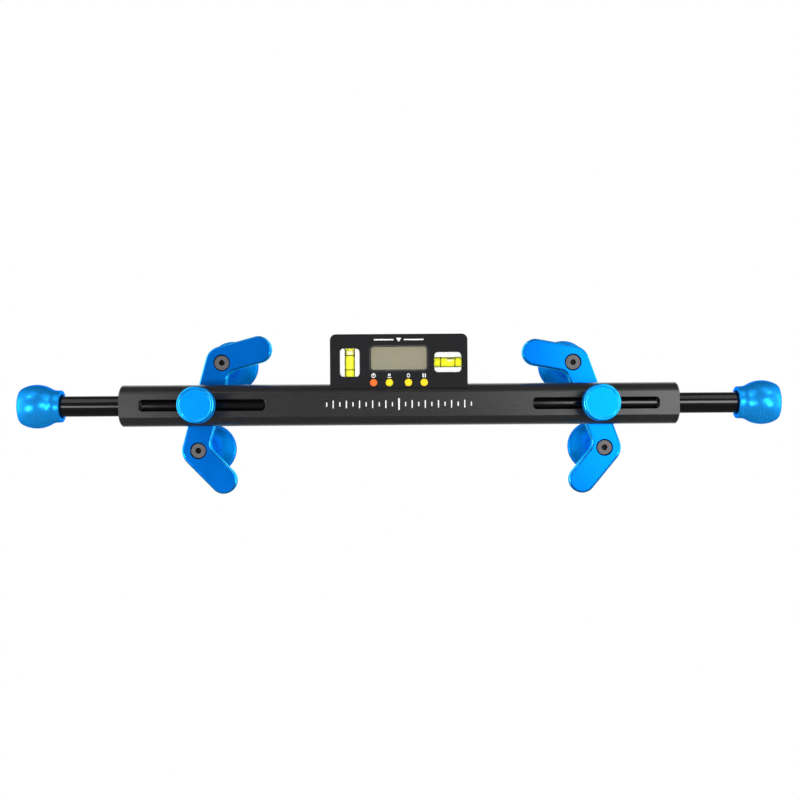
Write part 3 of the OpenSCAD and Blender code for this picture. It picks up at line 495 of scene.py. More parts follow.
def paint(obj, finish):
    obj.data.materials.clear()
    obj.data.materials.append(FINISHES[finish].material)


# Mesh making: outlines are in millimetres and become metres in the mesh

def arc(cx, cy, radius, start, end, steps):
    """Points on an arc from start to end degrees."""
    angles = [math.radians(start + (end - start) * i / steps) for i in range(steps + 1)]
    return [(cx + radius * math.cos(a), cy + radius * math.sin(a)) for a in angles]


def soften(corners, steps=4):
    """Open outline whose corners (x, y, radius) are rounded; a corner without a radius stays."""
    points = []
    for i, corner in enumerate(corners):
        here = Vector(corner[:2])
        if len(corner) < 3 or corner[2] == 0:
            points.append(tuple(here))
            continue
        back = (Vector(corners[i - 1][:2]) - here).normalized()
        ahead = (Vector(corners[i + 1][:2]) - here).normalized()
        half = back.angle(ahead) / 2
        reach = corner[2] / math.tan(half)
        centre = here + (back + ahead).normalized() * corner[2] / math.sin(half)
        first = here + back * reach - centre
        last = here + ahead * reach - centre
        for k in range(steps + 1):
            spoke = first.slerp(last, k / steps).normalized() * corner[2]
            points.append(tuple(centre + spoke))
    return points


def put(name, data):
    """Sets a new object in the scene."""
    obj = bpy.data.objects.new(name, data)
    bpy.context.scene.collection.objects.link(obj)
    return obj


def put_mesh(name, bm):
    """Sets a bmesh in the scene as an object, and frees it."""
    mesh = bpy.data.meshes.new(name)
    bm.to_mesh(mesh)
    bm.free()
    return put(name, mesh)


def as_object(name, bm, place=Matrix()):
    """Turns a bmesh in millimetres into an object at the origin, in metres."""
    bmesh.ops.remove_doubles(bm, verts=bm.verts, dist=1e-5)
    bm.transform(Matrix.Scale(MM, 4) @ place)
    bmesh.ops.recalc_face_normals(bm, faces=bm.faces)
    return put_mesh(name, bm)


def lathe(name, outline, place=Matrix(), steps=96):
    """Turns (radius, height) about local Z; a closed ring unless it starts on the axis.

    The map called turned holds the turn and the length along the outline in metres.
    """
    bm = bmesh.new()
    turned = bm.loops.layers.uv.new("turned")
    closed = outline[0][0] > 0
    if closed:
        outline = outline + outline[:1]
    run = [0.0]
    for a, b in zip(outline, outline[1:]):
        run.append(run[-1] + math.dist(a, b))
    rings = []
    for radius, height in outline:
        turns = range(steps) if radius > 0 else range(1)
        rings.append([
            bm.verts.new((
                radius * math.cos(math.tau * i / steps),
                radius * math.sin(math.tau * i / steps),
                height,
            ))
            for i in turns
        ])
    for j in range(len(rings) - 1):
        near, far = rings[j], rings[j + 1]
        for i in range(steps):
            spots = [(near, j, i), (near, j, i + 1), (far, j + 1, i + 1), (far, j + 1, i)]
            corners = {}
            for ring, level, turn in spots:
                corners.setdefault(ring[turn % len(ring)], (turn / steps, run[level] * MM))
            if len(corners) < 3:
                continue
            face = bm.faces.new(list(corners))
            for loop in face.loops:
                loop[turned].uv = corners[loop.vert]
    return as_object(name, bm, place)


def cylinder(name, radius, start, end, place=Matrix(), steps=96):
    """Plain round solid along local Z."""
    return lathe(name, [(0, start), (radius, start), (radius, end), (0, end)], place, steps)


def close_rings(bm, rings):
    """Walls between rings of corners, and a face over each end."""
    for near, far in zip(rings, rings[1:]):
        for i in range(len(near)):
            bm.faces.new((near[i - 1], near[i], far[i], far[i - 1]))
    bm.faces.new(rings[0])
    bm.faces.new(rings[-1])


def slab(name, loop_at, levels, place=Matrix()):
    """Solid along Y: loop_at(inset) gives the (x, z) outline, levels the (inset, y) of each loop."""
    bm = bmesh.new()
    close_rings(bm, [[bm.verts.new((x, y, z)) for x, z in loop_at(inset)] for inset, y in levels])
    return as_object(name, bm, place)


def edge_levels(front_y, rear_y, front_r, rear_r, steps=4, way=1):
    """Levels of a slab whose front and rear edges are rounded, drawn in, or drawn out where way is -1."""
    quarter = [math.radians(90 * i / steps) for i in range(steps + 1)]
    front = [(way * front_r * (1 - math.sin(a)), front_y + front_r * (1 - math.cos(a))) for a in quarter]
    rear = [(way * rear_r * (1 - math.sin(a)), rear_y - rear_r * (1 - math.cos(a))) for a in quarter]
    return front + rear[::-1]


def mouth_levels(front_y, rear_y, front_r, rear_r, steps=3):
    """Levels of a cutter that rounds the rims of the hole it makes; it runs past both faces."""
    rims = edge_levels(front_y, rear_y, front_r, rear_r, steps, -1)
    return [(-front_r, front_y - PAST)] + rims + [(-rear_r, rear_y + PAST)]


def through(front_y, rear_y):
    """Levels of a plain cutter that runs past both faces."""
    return [(0, front_y - PAST), (0, rear_y + PAST)]


def box_loop(cx, cz, half_w, half_h, low_r, top_r=None, steps=6):
    """Outline of a rectangle with rounded corners, as a function of the inset."""
    def at(inset):
        points = []
        w, h = half_w - inset, half_h - inset
        corners = [(1, 1, top_r), (-1, 1, top_r), (-1, -1, low_r), (1, -1, low_r)]
        for turn, (sx, sz, corner_r) in enumerate(corners):
            r = max((low_r if corner_r is None else corner_r) - inset, 0.02)
            points += arc(cx + sx * (w - r), cz + sz * (h - r), r, 90 * turn, 90 * turn + 90, steps)
        return points
    return at


def round_loop(cx, cz, radius, steps=48):
    """Outline of a round hole, as a function of the inset."""
    def at(inset):
        return arc(cx, cz, radius - inset, 0, 360, steps)[:-1]
    return at


def hex_loop(cx, cz, across):
    """Outline of a six-sided socket, as a function of the inset."""
    def at(inset):
        return arc(cx, cz, (across / 2 - inset) / math.cos(math.radians(30)), 0, 360, 6)[:-1]
    return at


def mesh_shown(obj):
    """A plain mesh of what the object's modifiers or its curve show."""
    evaluated = obj.evaluated_get(bpy.context.evaluated_depsgraph_get())
    return bpy.data.meshes.new_from_object(evaluated)


def settle(obj):
    """Makes what the modifiers show into the object's own mesh."""
    mesh = mesh_shown(obj)
    obj.modifiers.clear()
    obj.data = mesh
    mesh.name = obj.name
    return obj


def discard(*objs):
    for obj in objs:
        bpy.data.objects.remove(obj)


def carve(obj, *cutters):
    """Cuts the cutters out of the object and deletes them."""
    for cutter in cutters:
        cut = obj.modifiers.new("cut", "BOOLEAN")
        cut.operation = "DIFFERENCE"
        cut.solver = "EXACT"
        cut.object = cutter
    settle(obj)
    discard(*cutters)
    return obj


def join(name, *objs):
    """One object from several."""
    bm = bmesh.new()
    for obj in objs:
        bm.from_mesh(obj.data)
    made = put_mesh(name, bm)
    discard(*objs)
    return made


def shade(obj, angle):
    """Smooth shading that leaves flat faces flat and corners sharp."""
    mesh = obj.data
    mesh.polygons.foreach_set("use_smooth", [True] * len(mesh.polygons))
    mesh.set_sharp_from_angle(angle=math.radians(angle))
    weigh = obj.modifiers.new("weigh", "WEIGHTED_NORMAL")
    weigh.mode = "FACE_AREA"
    weigh.weight = 50
    weigh.keep_sharp = True
    return settle(obj)


def finish_piece(obj, finish, *nodes, like=None, angle=32):
    """Shades and paints a piece that replaces the nodes, or that rides like a node."""
    shade(obj, angle)
    paint(obj, finish)
    carrier = nodes[0] if nodes else like
    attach(obj, BODY_OF[carrier])
    if nodes:
        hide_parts(*nodes)
    return obj


def facing_x(x, side):
    """Lathe frame whose axis runs along X, out from the bar's centre on the given side."""
    return Matrix.Translation((x, 0, 0)) @ Matrix.Rotation(math.radians(90 * side), 4, "Y")


def facing_back(x, y, z):
    """Lathe frame whose axis runs along +Y."""
    return Matrix.Translation((x, y, z)) @ Matrix.Rotation(math.radians(-90), 4, "X")


# What repeats

class Recipe(Tree):
    """A geometry node tree with named inputs."""

    def __init__(self, name, **inputs):
        super().__init__(bpy.data.node_groups.new(name, "GeometryNodeTree"))
        face = self.tree.interface
        for key, kind in inputs.items():
            face.new_socket(key, in_out="INPUT", socket_type="NodeSocket" + kind)
        face.new_socket("finish", in_out="INPUT", socket_type="NodeSocketMaterial")
        face.new_socket("shape", in_out="OUTPUT", socket_type="NodeSocketGeometry")
        self.start = self.tree.nodes.new("NodeGroupInput")

    def given(self, name):
        return Signal(self, self.start.outputs[name])

    def end(self, geometry):
        """Gives the geometry its finish and sends it out."""
        painted = self.node("GeometryNodeSetMaterial",
                            inputs={"Geometry": geometry, "Material": self.given("finish")})
        self.tree.links.new(painted.socket, self.tree.nodes.new("NodeGroupOutput").inputs[0])
        return self.tree


def row_tree():
    """Geometry nodes that set copies of an item along a line."""
    tree = Recipe("row", item="Object", count="Int", start="Vector", step="Vector")
    line = tree.node("GeometryNodeMeshLine", {"mode": "OFFSET"}, {
        "Count": tree.given("count"), "Start Location": tree.given("start"), "Offset": tree.given("step"),
    })
    item = tree.node("GeometryNodeObjectInfo", {"transform_space": "ORIGINAL"},
                     {"Object": tree.given("item")}, out="Geometry")
    copies = tree.node("GeometryNodeInstanceOnPoints", inputs={"Points": line, "Instance": item})
    return tree.end(tree.node("GeometryNodeRealizeInstances", inputs={"Geometry": copies}))


def coil_tree():
    """Geometry nodes that wind round wire into a helix along Z."""
    tree = Recipe("coil", turns="Float", coil_radius="Float", length="Float", wire_radius="Float")
    helix = tree.node("GeometryNodeCurveSpiral", inputs={
        "Resolution": 24, "Rotations": tree.given("turns"), "Start Radius": tree.given("coil_radius"),
        "End Radius": tree.given("coil_radius"), "Height": tree.given("length"),
    })
    section = tree.node("GeometryNodeCurvePrimitiveCircle",
                        inputs={"Resolution": 8, "Radius": tree.given("wire_radius")})
    return tree.end(tree.node("GeometryNodeCurveToMesh", inputs={
        "Curve": helix, "Profile Curve": section, "Fill Caps": True,
    }))


ROW = row_tree()
COIL = coil_tree()


def grow(name, group, **values):
    """A mesh made by one of the trees above, its inputs set by the sockets' identifiers."""
    obj = put(name, bpy.data.meshes.new(name))
    modifier = obj.modifiers.new("grow", "NODES")
    modifier.node_group = group
    for socket in group.interface.items_tree:
        if socket.in_out == "INPUT":
            modifier[socket.identifier] = values[socket.name]
    return settle(obj)


def row_of(name, item, count, start, step, finish):
    """Copies of an item in a row; start and step are in millimetres."""
    made = grow(
        name, ROW, item=item, count=count,
        start=[v * MM for v in start], step=[v * MM for v in step],
        finish=FINISHES[finish].material,
    )
    discard(item)
    return made


# Bar

def bar_loop(radius, steps=24):
    """Closed section of the bar as (y, z) points."""
    reach = math.degrees(math.acos(FLAT_Y / radius))
    upper = arc(0, 0, radius, reach, 180 - reach, steps)
    lower = arc(0, 0, radius, 180 + reach, 360 - reach, steps)
    ring = []
    for curve, sign in ((upper, 1), (lower, -1)):
        ring.append((curve[0][0], curve[0][1] - sign * 0.35))
        ring += curve
        ring.append((curve[-1][0], curve[-1][1] - sign * 0.35))
    return ring


def bar():
    """Round bar with flats, chamfered ends, bore, slots and the seat of the level."""
    chamfer = 1.0
    bm = bmesh.new()
    stations = [(-BAR_END, BAR_R - chamfer), (-BAR_END + chamfer, BAR_R),
                (BAR_END - chamfer, BAR_R), (BAR_END, BAR_R - chamfer)]
    close_rings(bm, [[bm.verts.new((x, y, z)) for y, z in bar_loop(radius)] for x, radius in stations])
    made = as_object("bar_tube", bm)
    rim = 0.5
    half = [(BORE_R, BAR_END - rim), (BORE_R + rim, BAR_END),
            (BORE_R + rim, BAR_END + PAST), (0, BAR_END + PAST)]
    cutters = [lathe("bore", [(r, -h) for r, h in half[::-1]] + half, facing_x(0, 1), 72)]
    for side in (-1, 1):
        loop = box_loop(side * SLOT_X, 0, SLOT_LEN / 2, SLOT_W / 2, SLOT_R)
        cutters.append(slab("slot", loop, mouth_levels(-FLAT_Y, FLAT_Y, 0.3, 0.3)))
    seat = box_loop(0, SEAT_Z + BAR_R, LEVEL_HALF + SEAT_GAP, BAR_R, 0.05)
    cutters.append(slab("seat", seat, through(-BAR_R, BAR_R)))
    cutters.append(cylinder("pin_hole", PIN_HOLE_R, -BAR_R - PAST, BAR_R))
    return finish_piece(carve(made, *cutters), "bar_black", "bar", angle=40)


# Rods, ball knobs, thumb knobs, washers and bolts

def pull_rod(side):
    name = SIDE_NAME[side]
    shoulder, spigot_r = COLLAR_X + BALL_RECESS, 5
    tail, end_bore, bore_end = CLAMP_X - 54, 5.3, CLAMP_X - 42
    rod = lathe(
        f"{name}_rod",
        soften([(0, bore_end), (end_bore, bore_end), (end_bore, tail, 0.3), (ROD_R, tail, 0.5),
                (ROD_R, shoulder, 0.3), (spigot_r, shoulder), (spigot_r, shoulder + SPIGOT_LEN, 0.5),
                (0, shoulder + SPIGOT_LEN)]),
        facing_x(0, side), 128,
    )
    bolt_hole = slab("bolt_hole", round_loop(side * CLAMP_X, 0, BOLT_HOLE_R), through(-ROD_R, ROD_R))
    pin_hole = cylinder("pin_hole", PIN_HOLE_R, -ROD_R - PAST, ROD_R + PAST,
                        Matrix.Translation((side * ROD_PIN_X, 0, 0)), 32)
    return finish_piece(carve(rod, bolt_hole, pin_hole), "rod_black", f"{name}_pull_rod")


def ball_knob(side):
    """Belly arc, hollow blend and collar, from the outer end towards the bar."""
    name = SIDE_NAME[side]
    length = BALL_OUT - COLLAR_X
    ball_r, face_r, belly_x = 16.9, 13.0, 12.5
    collar_r, blend_r = 12.4, 9.0
    recess_r, bore_r = 9.3, 5.02
    recess_end = length - BALL_RECESS
    drop = ball_r - face_r
    belly_r = (belly_x ** 2 + drop ** 2) / (2 * drop)
    belly_c = Vector((ball_r - belly_r, belly_x))
    blend_c = Vector((collar_r + blend_r, belly_x))
    blend_c[1] += math.sqrt((belly_r + blend_r) ** 2 - (blend_c[0] - belly_c[0]) ** 2)
    turn = math.degrees(math.atan2(blend_c[1] - belly_c[1], blend_c[0] - belly_c[0]))
    start = math.degrees(math.asin(-belly_x / belly_r))
    edge = 1.8
    belly = arc(*belly_c, belly_r, start + 5, turn, 28)
    blend = arc(*blend_c, blend_r, 180 + turn, 180, 12)
    cap = soften([(0, 0), (face_r - 0.3, 0.15, edge), belly[0], belly[1]], 6)[:-1]
    tail = soften([blend[-1], (collar_r, length, 0.6), (recess_r, length, 0.5), (recess_r, recess_end),
                   (bore_r, recess_end), (bore_r, recess_end - SPIGOT_LEN), (0, recess_end - SPIGOT_LEN)])
    outline = cap + belly[1:-1] + blend[:-1] + tail
    mirrored = [(r, -x) for r, x in outline]
    made = lathe(f"{name}_ball", mirrored, facing_x(side * BALL_OUT, side), 128)
    return finish_piece(made, "ball_blue", f"{name}_ball_knob", angle=50)


def thumb_knob(side):
    """Disc with a raised rim round its face, a hub behind it and the bolt's bore."""
    name = SIDE_NAME[side]
    disc_t, hub_r, dish, rim = 10.0, 9.0, 0.3, 2.2
    rear = THUMB_REAR_Y - THUMB_FACE_Y
    grip = 5.05
    outline = soften([
        (0, dish), (THUMB_R - rim - 0.2, dish, 0.2), (THUMB_R - rim + 0.2, 0, 0.2), (THUMB_R - 0.1, 0, 1.0),
        (THUMB_R, disc_t, 1.0), (hub_r + 0.6, disc_t, 0.5), (hub_r, disc_t + 1.0, 0.5), (hub_r, rear, 0.5),
        (BOLT_HOLE_R, rear, 0.3), (BOLT_HOLE_R, disc_t - grip), (0, disc_t - grip),
    ], 5)
    made = lathe(f"{name}_clamp_knob", outline, facing_back(side * CLAMP_X, THUMB_FACE_Y, 0), 128)
    finish_piece(made, "knob_blue", f"{name}_thumb_knob", angle=50)
    # The rim ring round the face is refinished in a brighter blue as a painted highlight.
    return recolour(made, "edge_blue", lambda x, y, z, tilt: y < THUMB_FACE_Y + 1.2 and tilt < 0.95)


def ring(name, node, finish, edge):
    """Flat washer with eased edges in place of a node."""
    centre = middle(node)
    front, rear = low(node, 1), high(node, 1)
    outer, inner, thick = high(node, 2), 4.2, rear - front
    outline = soften([(inner, thick / 2), (inner, 0, edge), (outer, 0, edge), (outer, thick, edge),
                      (inner, thick, edge), (inner, thick / 2)], 3)[:-1]
    made = lathe(name, outline, facing_back(centre[0], front, 0), 72)
    return finish_piece(made, finish, node)


def clamp_bolt(side):
    """Button head bolt with a hexagon socket, its head behind the bracket."""
    name = SIDE_NAME[side]
    node = f"{name}_clamp_bolt"
    tip, end = low(node, 1), high(node, 1)
    length = end - tip
    head_h, head_r, shank_r, crown_r = 4.4, 7.0, 4.0, 4.6
    neck = length - head_h
    outline = soften([
        (0, 0), (shank_r, 0, 0.6), (shank_r, neck), (head_r, neck, 0.3), (head_r, neck + 1.2, 0.5),
        (crown_r, length, 1.5), (0, length),
    ], 5)
    made = lathe(f"{name}_bolt", outline, facing_back(side * CLAMP_X, tip, 0), 72)
    across, deep, flare = 5, 2.7, 0.4
    socket = slab("socket", hex_loop(side * CLAMP_X, 0, across),
                  [(0, end - deep), (0, end - 0.3), (-flare, end + 0.1), (-flare, end + PAST)])
    return finish_piece(carve(made, socket), "screw_dark", node)


# Bracket

def bracket_frame(side):
    """Frame of a bracket: origin on the clamp bolt, x towards the centre, leaned as the spools stand."""
    upper, lower = [middle(f"{SIDE_NAME[side]}_{end}_spool") for end in ("upper", "lower")]
    lean = math.atan2(side * (lower[0] - upper[0]), upper[2] - lower[2])
    turned = Matrix.Rotation(lean, 4, "Y")
    shift = Matrix.Translation((-CLAMP_X, 0, 0))
    return (Matrix.Scale(-1, 4, (1, 0, 0)) if side > 0 else Matrix()) @ shift @ turned


def screw_axes(side):
    """Points on the axes of the upper and the lower spool screw."""
    return [bracket_frame(side) @ Vector((SCREW_X, 0, half * SCREW_H)) for half in (1, -1)]


def recolour(obj, finish, chosen):
    """Refinishes the faces that chosen(x, y, z, tilt) picks; tilt is 1 for a face square to Y."""
    obj.data.materials.append(FINISHES[finish].material)
    for face in obj.data.polygons:
        if chosen(*(face.center / MM), abs(face.normal[1])):
            face.material_index = len(obj.data.materials) - 1
    return obj


def plate_loop(inset):
    """Outline of the forked plate; its arcs keep their centres as it is drawn in."""
    fork_x = STRAP_W / 2 + FORK_R
    fork_h = ELBOW_H - (ARM_W / 2 + FORK_R - fork_x * math.sin(ARM_ANGLE)) / math.cos(ARM_ANGLE)
    end_x = ARM_REACH * math.cos(ARM_ANGLE)
    end_h = ELBOW_H + ARM_REACH * math.sin(ARM_ANGLE)
    upper = (
        arc(SCREW_X, SCREW_H, ELBOW_R - inset, 180, 120, 10)
        + arc(end_x, end_h, ARM_W / 2 - inset, 120, -60, 32)
        + arc(fork_x, fork_h, FORK_R + inset, 120, 180, 10)
    )
    lower = [(x, -z) for x, z in reversed(upper)]
    return upper + lower


def bracket_plate(side):
    name = SIDE_NAME[side]
    place = bracket_frame(side)
    plate = slab(f"{name}_plate", plate_loop,
                 edge_levels(PLATE_FRONT_Y, PLATE_REAR_Y, PLATE_EDGE, PLATE_EDGE, 6), place)
    cutters = [slab("pivot", round_loop(0, 0, BOLT_HOLE_R),
                    mouth_levels(PLATE_FRONT_Y, PLATE_REAR_Y, 0.3, 0.3), place)]
    head_r, hole_r, rim_r = SCREW_HEAD_R + SCREW_SINK, 3.2, 0.2
    deep = PLATE_REAR_Y - PLATE_FRONT_Y + 4
    sink = [(0, -PAST), (head_r + rim_r, -PAST), (head_r + rim_r, 0), (head_r, rim_r),
            (hole_r, head_r - hole_r), (hole_r, deep), (0, deep)]
    for half in (-1, 1):
        cutters.append(lathe("sink", sink, place @ facing_back(SCREW_X, PLATE_FRONT_Y, half * SCREW_H), 64))
    made = finish_piece(carve(plate, *cutters), "plate_blue", f"{name}_bracket_plate")
    holes = [(axis[0], axis[2]) for axis in screw_axes(side)]

    def from_hole(x, z):
        return min(math.dist((x, z), hole) for hole in holes)

    def sunk(x, y, z, tilt):
        return y > PLATE_FRONT_Y + 0.15 and from_hole(x, z) < head_r + 0.1

    def rim(x, y, z, tilt):
        clear_of_pivot = math.hypot(x - side * CLAMP_X, z) > BOLT_HOLE_R + 0.95
        return tilt < 0.8 and from_hole(x, z) > head_r + 0.5 and clear_of_pivot

    recolour(made, "shadow_black", sunk)
    # The plate's rounded edges are refinished in a brighter blue as a painted highlight.
    return recolour(made, "edge_blue", rim)


def spool(side, half):
    """Grip spool: straight neck at the plate, a hollow flare and a broad flange behind."""
    name = SIDE_NAME[side] + ("_upper" if half > 0 else "_lower")
    length = high(f"{name}_spool", 1) - PLATE_REAR_Y
    neck_r, flange_r, flange_t, edge, flare_r = 10.5, 20.8, 5.5, 1.8, 60.0
    rise = flange_r - neck_r - edge
    flare_end = length - flange_t
    flare_start = flare_end - math.sqrt(flare_r ** 2 - (flare_r - rise) ** 2)
    turn = math.degrees(math.asin((flare_end - flare_start) / flare_r))
    flare = arc(neck_r + flare_r, flare_start, flare_r, 180, 180 - turn, 24)
    thread_r, thread_len = 3, 12
    outline = (
        soften([(0, thread_len), (thread_r, thread_len), (thread_r, 0), (neck_r, 0, 0.4), flare[0]], 3)
        + flare[1:]
        + soften([flare[-1], (flange_r, flare_end, edge), (flange_r, length, edge), (0, length)], 8)[1:]
    )
    place = bracket_frame(side) @ facing_back(SCREW_X, PLATE_REAR_Y, half * SCREW_H)
    return finish_piece(lathe(f"{name}_grip", outline, place, 128), "spool_blue", f"{name}_spool", angle=50)


def spool_screws(side):
    """Two countersunk screws with hexagon sockets, set out by the row tree."""
    name = SIDE_NAME[side]
    head_r, shank_r, length, tip = SCREW_HEAD_R, 3.0, 25.0, 0.6
    head_y = PLATE_FRONT_Y + SCREW_SINK
    cone = head_r - shank_r
    outline = soften([
        (0, 0), (head_r - 0.2, 0, 0.15), (head_r - 0.05, 0.3, 0.1), (shank_r, cone),
        (shank_r, length - tip), (shank_r - tip, length), (0, length),
    ], 3)
    screw = lathe("screw", outline, facing_back(0, head_y, 0), 64)
    socket = slab("socket", hex_loop(0, 0, SCREW_SOCKET),
                  [(0, head_y + 2.6), (0, head_y + 0.2), (-0.25, head_y - 0.05), (-0.25, head_y - PAST)])
    carve(screw, socket)
    upper, lower = screw_axes(side)
    made = row_of(f"{name}_screws", screw, 2, upper, lower - upper, "screw_dark")
    finish_piece(made, "screw_dark", f"{name}_spool_screws")

    def socket_wall(x, y, z, tilt):
        near = min(math.hypot(x - axis[0], z - axis[2]) for axis in (upper, lower))
        return y > head_y + 0.15 and near < SCREW_SOCKET * 0.6

    return recolour(made, "shadow_black", socket_wall)


# Springs and pins

def wire(name, points, radius, place):
    """Round wire along points in millimetres."""
    curve = bpy.data.curves.new(name, "CURVE")
    curve.dimensions = "3D"
    curve.bevel_depth = radius * MM
    curve.bevel_resolution = 2
    curve.use_fill_caps = True
    spline = curve.splines.new("POLY")
    spline.points.add(len(points) - 1)
    for spot, point in zip(spline.points, points):
        spot.co = (*(place @ Vector(point) * MM), 1)
    obj = put(name, curve)
    made = put(name, mesh_shown(obj))
    discard(obj)
    return made


def spring(side):
    """Extension spring from the anchor pin to the rod's pin: a wound coil with a hook at each end."""
    name = SIDE_NAME[side]
    coil_r, wire_r, turns = 4.4, 0.4, 24
    hook_side, hook_lead, hook_reach = 1.6, 2.5, 1.95
    ring_a = coil_r - hook_reach
    ring_b = ROD_PIN_X + hook_reach - coil_r
    coil_a = ring_a + hook_lead + hook_side
    coil_b = ring_b - hook_lead - hook_side
    place = Matrix.Rotation(math.radians(180), 4, "Y") if side < 0 else Matrix()
    near = [(x, y, -hook_side) for x, y in arc(ring_a, 0, coil_r, 300, 90, 16)]
    near += [(x, coil_r, z) for x, z in arc(coil_a - hook_side, 0, hook_side, -90, 0, 3)]
    far = [(x, coil_r, z) for x, z in arc(coil_b + hook_side, 0, hook_side, 180, 90, 3)]
    far += [(x, y, hook_side) for x, y in arc(ring_b, 0, coil_r, 90, -120, 16)]
    coil = grow(f"{name}_coil", COIL, turns=float(turns), coil_radius=coil_r * MM,
                length=(coil_b - coil_a) * MM, wire_radius=wire_r * MM, finish=FINISHES["steel"].material)
    quarter = math.radians(90)
    lying = Matrix.Rotation(quarter, 4, "X") @ Matrix.Rotation(quarter, 4, "Y")
    coil.data.transform(place @ Matrix.Translation((coil_a * MM, 0, 0)) @ lying)
    hooks = [wire("near_hook", near, wire_r, place), wire("far_hook", far, wire_r, place)]
    made = join(f"{name}_wound_spring", coil, *hooks)
    shade(made, 60)
    paint(made, "steel")
    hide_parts(f"{name}_spring")
    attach(made, "bar_and_level")
    made.parent = None
    side * coil_b * MM
    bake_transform(made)
    return made


# Digital level

def case_loop(inset):
    middle_z, half_h = (SEAT_Z + LEVEL_TOP) / 2, (LEVEL_TOP - SEAT_Z) / 2
    return box_loop(0, middle_z, LEVEL_HALF, half_h, FOOT_R, LEVEL_R, 8)(inset)


def case_levels(face_y, way):
    """Levels of half a case from its face to the parting; way is 1 for the front and -1 for the back."""
    edge, step_y = 0.35, face_y + way * CASE_STEP
    quarter = [math.radians(30 * i) for i in range(4)]
    face = [(CASE_STEP + edge * (1 - math.sin(a)), face_y + way * edge * (1 - math.cos(a)))
            for a in quarter]
    return face + [
        (CASE_STEP, step_y - way * 0.02), (0.25, step_y), (0.07, step_y + way * 0.07),
        (0, step_y + way * 0.25), (0, -way * 0.12), (0.12, 0),
    ]


def case_front():
    """Front half of the case: a step round its face, the display's pocket and the vials' windows."""
    shell = slab("case_front", case_loop, case_levels(LEVEL_FRONT_Y, 1))
    pocket_y = LEVEL_FRONT_Y + LCD_POCKET
    pocket = box_loop(0, LCD_Z, LCD_HALF_W + LCD_RIM, LCD_HALF_H + LCD_RIM, LCD_CORNER + LCD_RIM)
    opening = box_loop(0, LCD_Z, LCD_HALF_W, LCD_HALF_H, LCD_CORNER)
    notch_half_w, notch_half_h = 24.35, 1.1
    cutters = [
        slab("hollow", case_loop, [(CASE_WALL, CASE_INNER_Y), (CASE_WALL, PAST)]),
        slab("pocket", pocket, mouth_levels(LEVEL_FRONT_Y, pocket_y, 0.1, 0)[:5] + [(0, pocket_y)]),
        slab("opening", opening, [(0, LEVEL_FRONT_Y + LCD_POCKET / 2), (0, CASE_INNER_Y + PAST)]),
    ]
    for x, half_w, half_h in ((-VIAL_X, VIAL_WINDOW_W / 2, UPRIGHT_WINDOW_LEN / 2),
                              (VIAL_X, LEVEL_WINDOW_LEN / 2, VIAL_WINDOW_W / 2)):
        cutters.append(slab("window", box_loop(x, VIAL_Z, half_w, half_h, WINDOW_R),
                            mouth_levels(LEVEL_FRONT_Y, CASE_INNER_Y, 0.4, 0)))
    for node in KEYS:
        x, _, z = middle(node)
        cutters.append(slab("button_hole", round_loop(x, z, KEY_R + 0.15),
                            mouth_levels(LEVEL_FRONT_Y, CASE_INNER_Y, 0.2, 0)))
    cutters.append(slab("notch", box_loop(0, SEAT_Z, notch_half_w, notch_half_h, 0.3),
                        [(0, LEVEL_FRONT_Y - PAST), (0, pocket_y)]))
    made = finish_piece(carve(shell, *cutters), "case_black", "level_front_shell")

    # The pocket's walls round the display take the black of the window's print as painted shade.
    def pocket_wall_shade_mask(x, y, z, tilt):
        inside = max(abs(x) - LCD_HALF_W, abs(z - LCD_Z) - LCD_HALF_H) < LCD_RIM + 0.2
        return LEVEL_FRONT_Y + 0.01 < y < CASE_INNER_Y + 1 and inside

    return recolour(made, "window_black", pocket_wall_shade_mask)


def screw_lines(axis):
    """The two places of the case screws' axes along x or z."""
    return low("case_screws", axis) + CASE_SCREW_R, high("case_screws", axis) - CASE_SCREW_R


def case_back():
    """Rear half of the case, with the battery door's recess and the screws' counterbores."""
    shell = slab("case_back", case_loop, case_levels(LEVEL_REAR_Y, -1)[::-1])
    cutters = [slab("hollow", case_loop, [(CASE_WALL, -PAST), (CASE_WALL, LEVEL_REAR_Y - CASE_BACK)])]
    x, z, half_w, half_h = front_view("battery_door")
    gap, seat_y, seat_r = 0.15, LEVEL_REAR_Y - 2.0, CASE_SCREW_R + 0.2
    cutters.append(slab("door_recess", box_loop(x, z, half_w + gap, half_h + gap, DOOR_CORNER + gap),
                        mouth_levels(low("battery_door", 1) - 0.05, LEVEL_REAR_Y, 0, 0.2)))
    for x in screw_lines(0):
        for z in screw_lines(2):
            cutters.append(slab("screw_seat", round_loop(x, z, seat_r, 40),
                                mouth_levels(seat_y, LEVEL_REAR_Y, 0, 0.2)))
    return finish_piece(carve(shell, *cutters), "case_black", "level_back_shell")


def battery_door():
    """Flush door with a row of grip ridges at one end and its screw's counterbore at the other."""
    x, z, half_w, half_h = front_view("battery_door")
    front, rear = low("battery_door", 1), high("battery_door", 1)
    plate = slab("battery_cover", box_loop(x, z, half_w, half_h, DOOR_CORNER),
                 edge_levels(front, rear, 0, 0.25, 3)[1:])
    pitch, count, first, depth = 1.6, 5, low("battery_door", 0) + 5.2, 0.3
    groove = slab("groove", box_loop(0, z, 0.4, 6, 0.35, steps=3), [(0, rear - depth), (0, rear + 1)])
    ridges = row_of("ridges", groove, count, (first, 0, 0), (pitch, 0, 0), "case_black")
    sx, _, sz = middle("door_screw")
    seat = slab("door_seat", round_loop(sx, sz, 1.9, 40), mouth_levels(rear - 1.0, rear, 0, 0.15))
    return finish_piece(carve(plate, ridges, seat), "case_black", "battery_door")


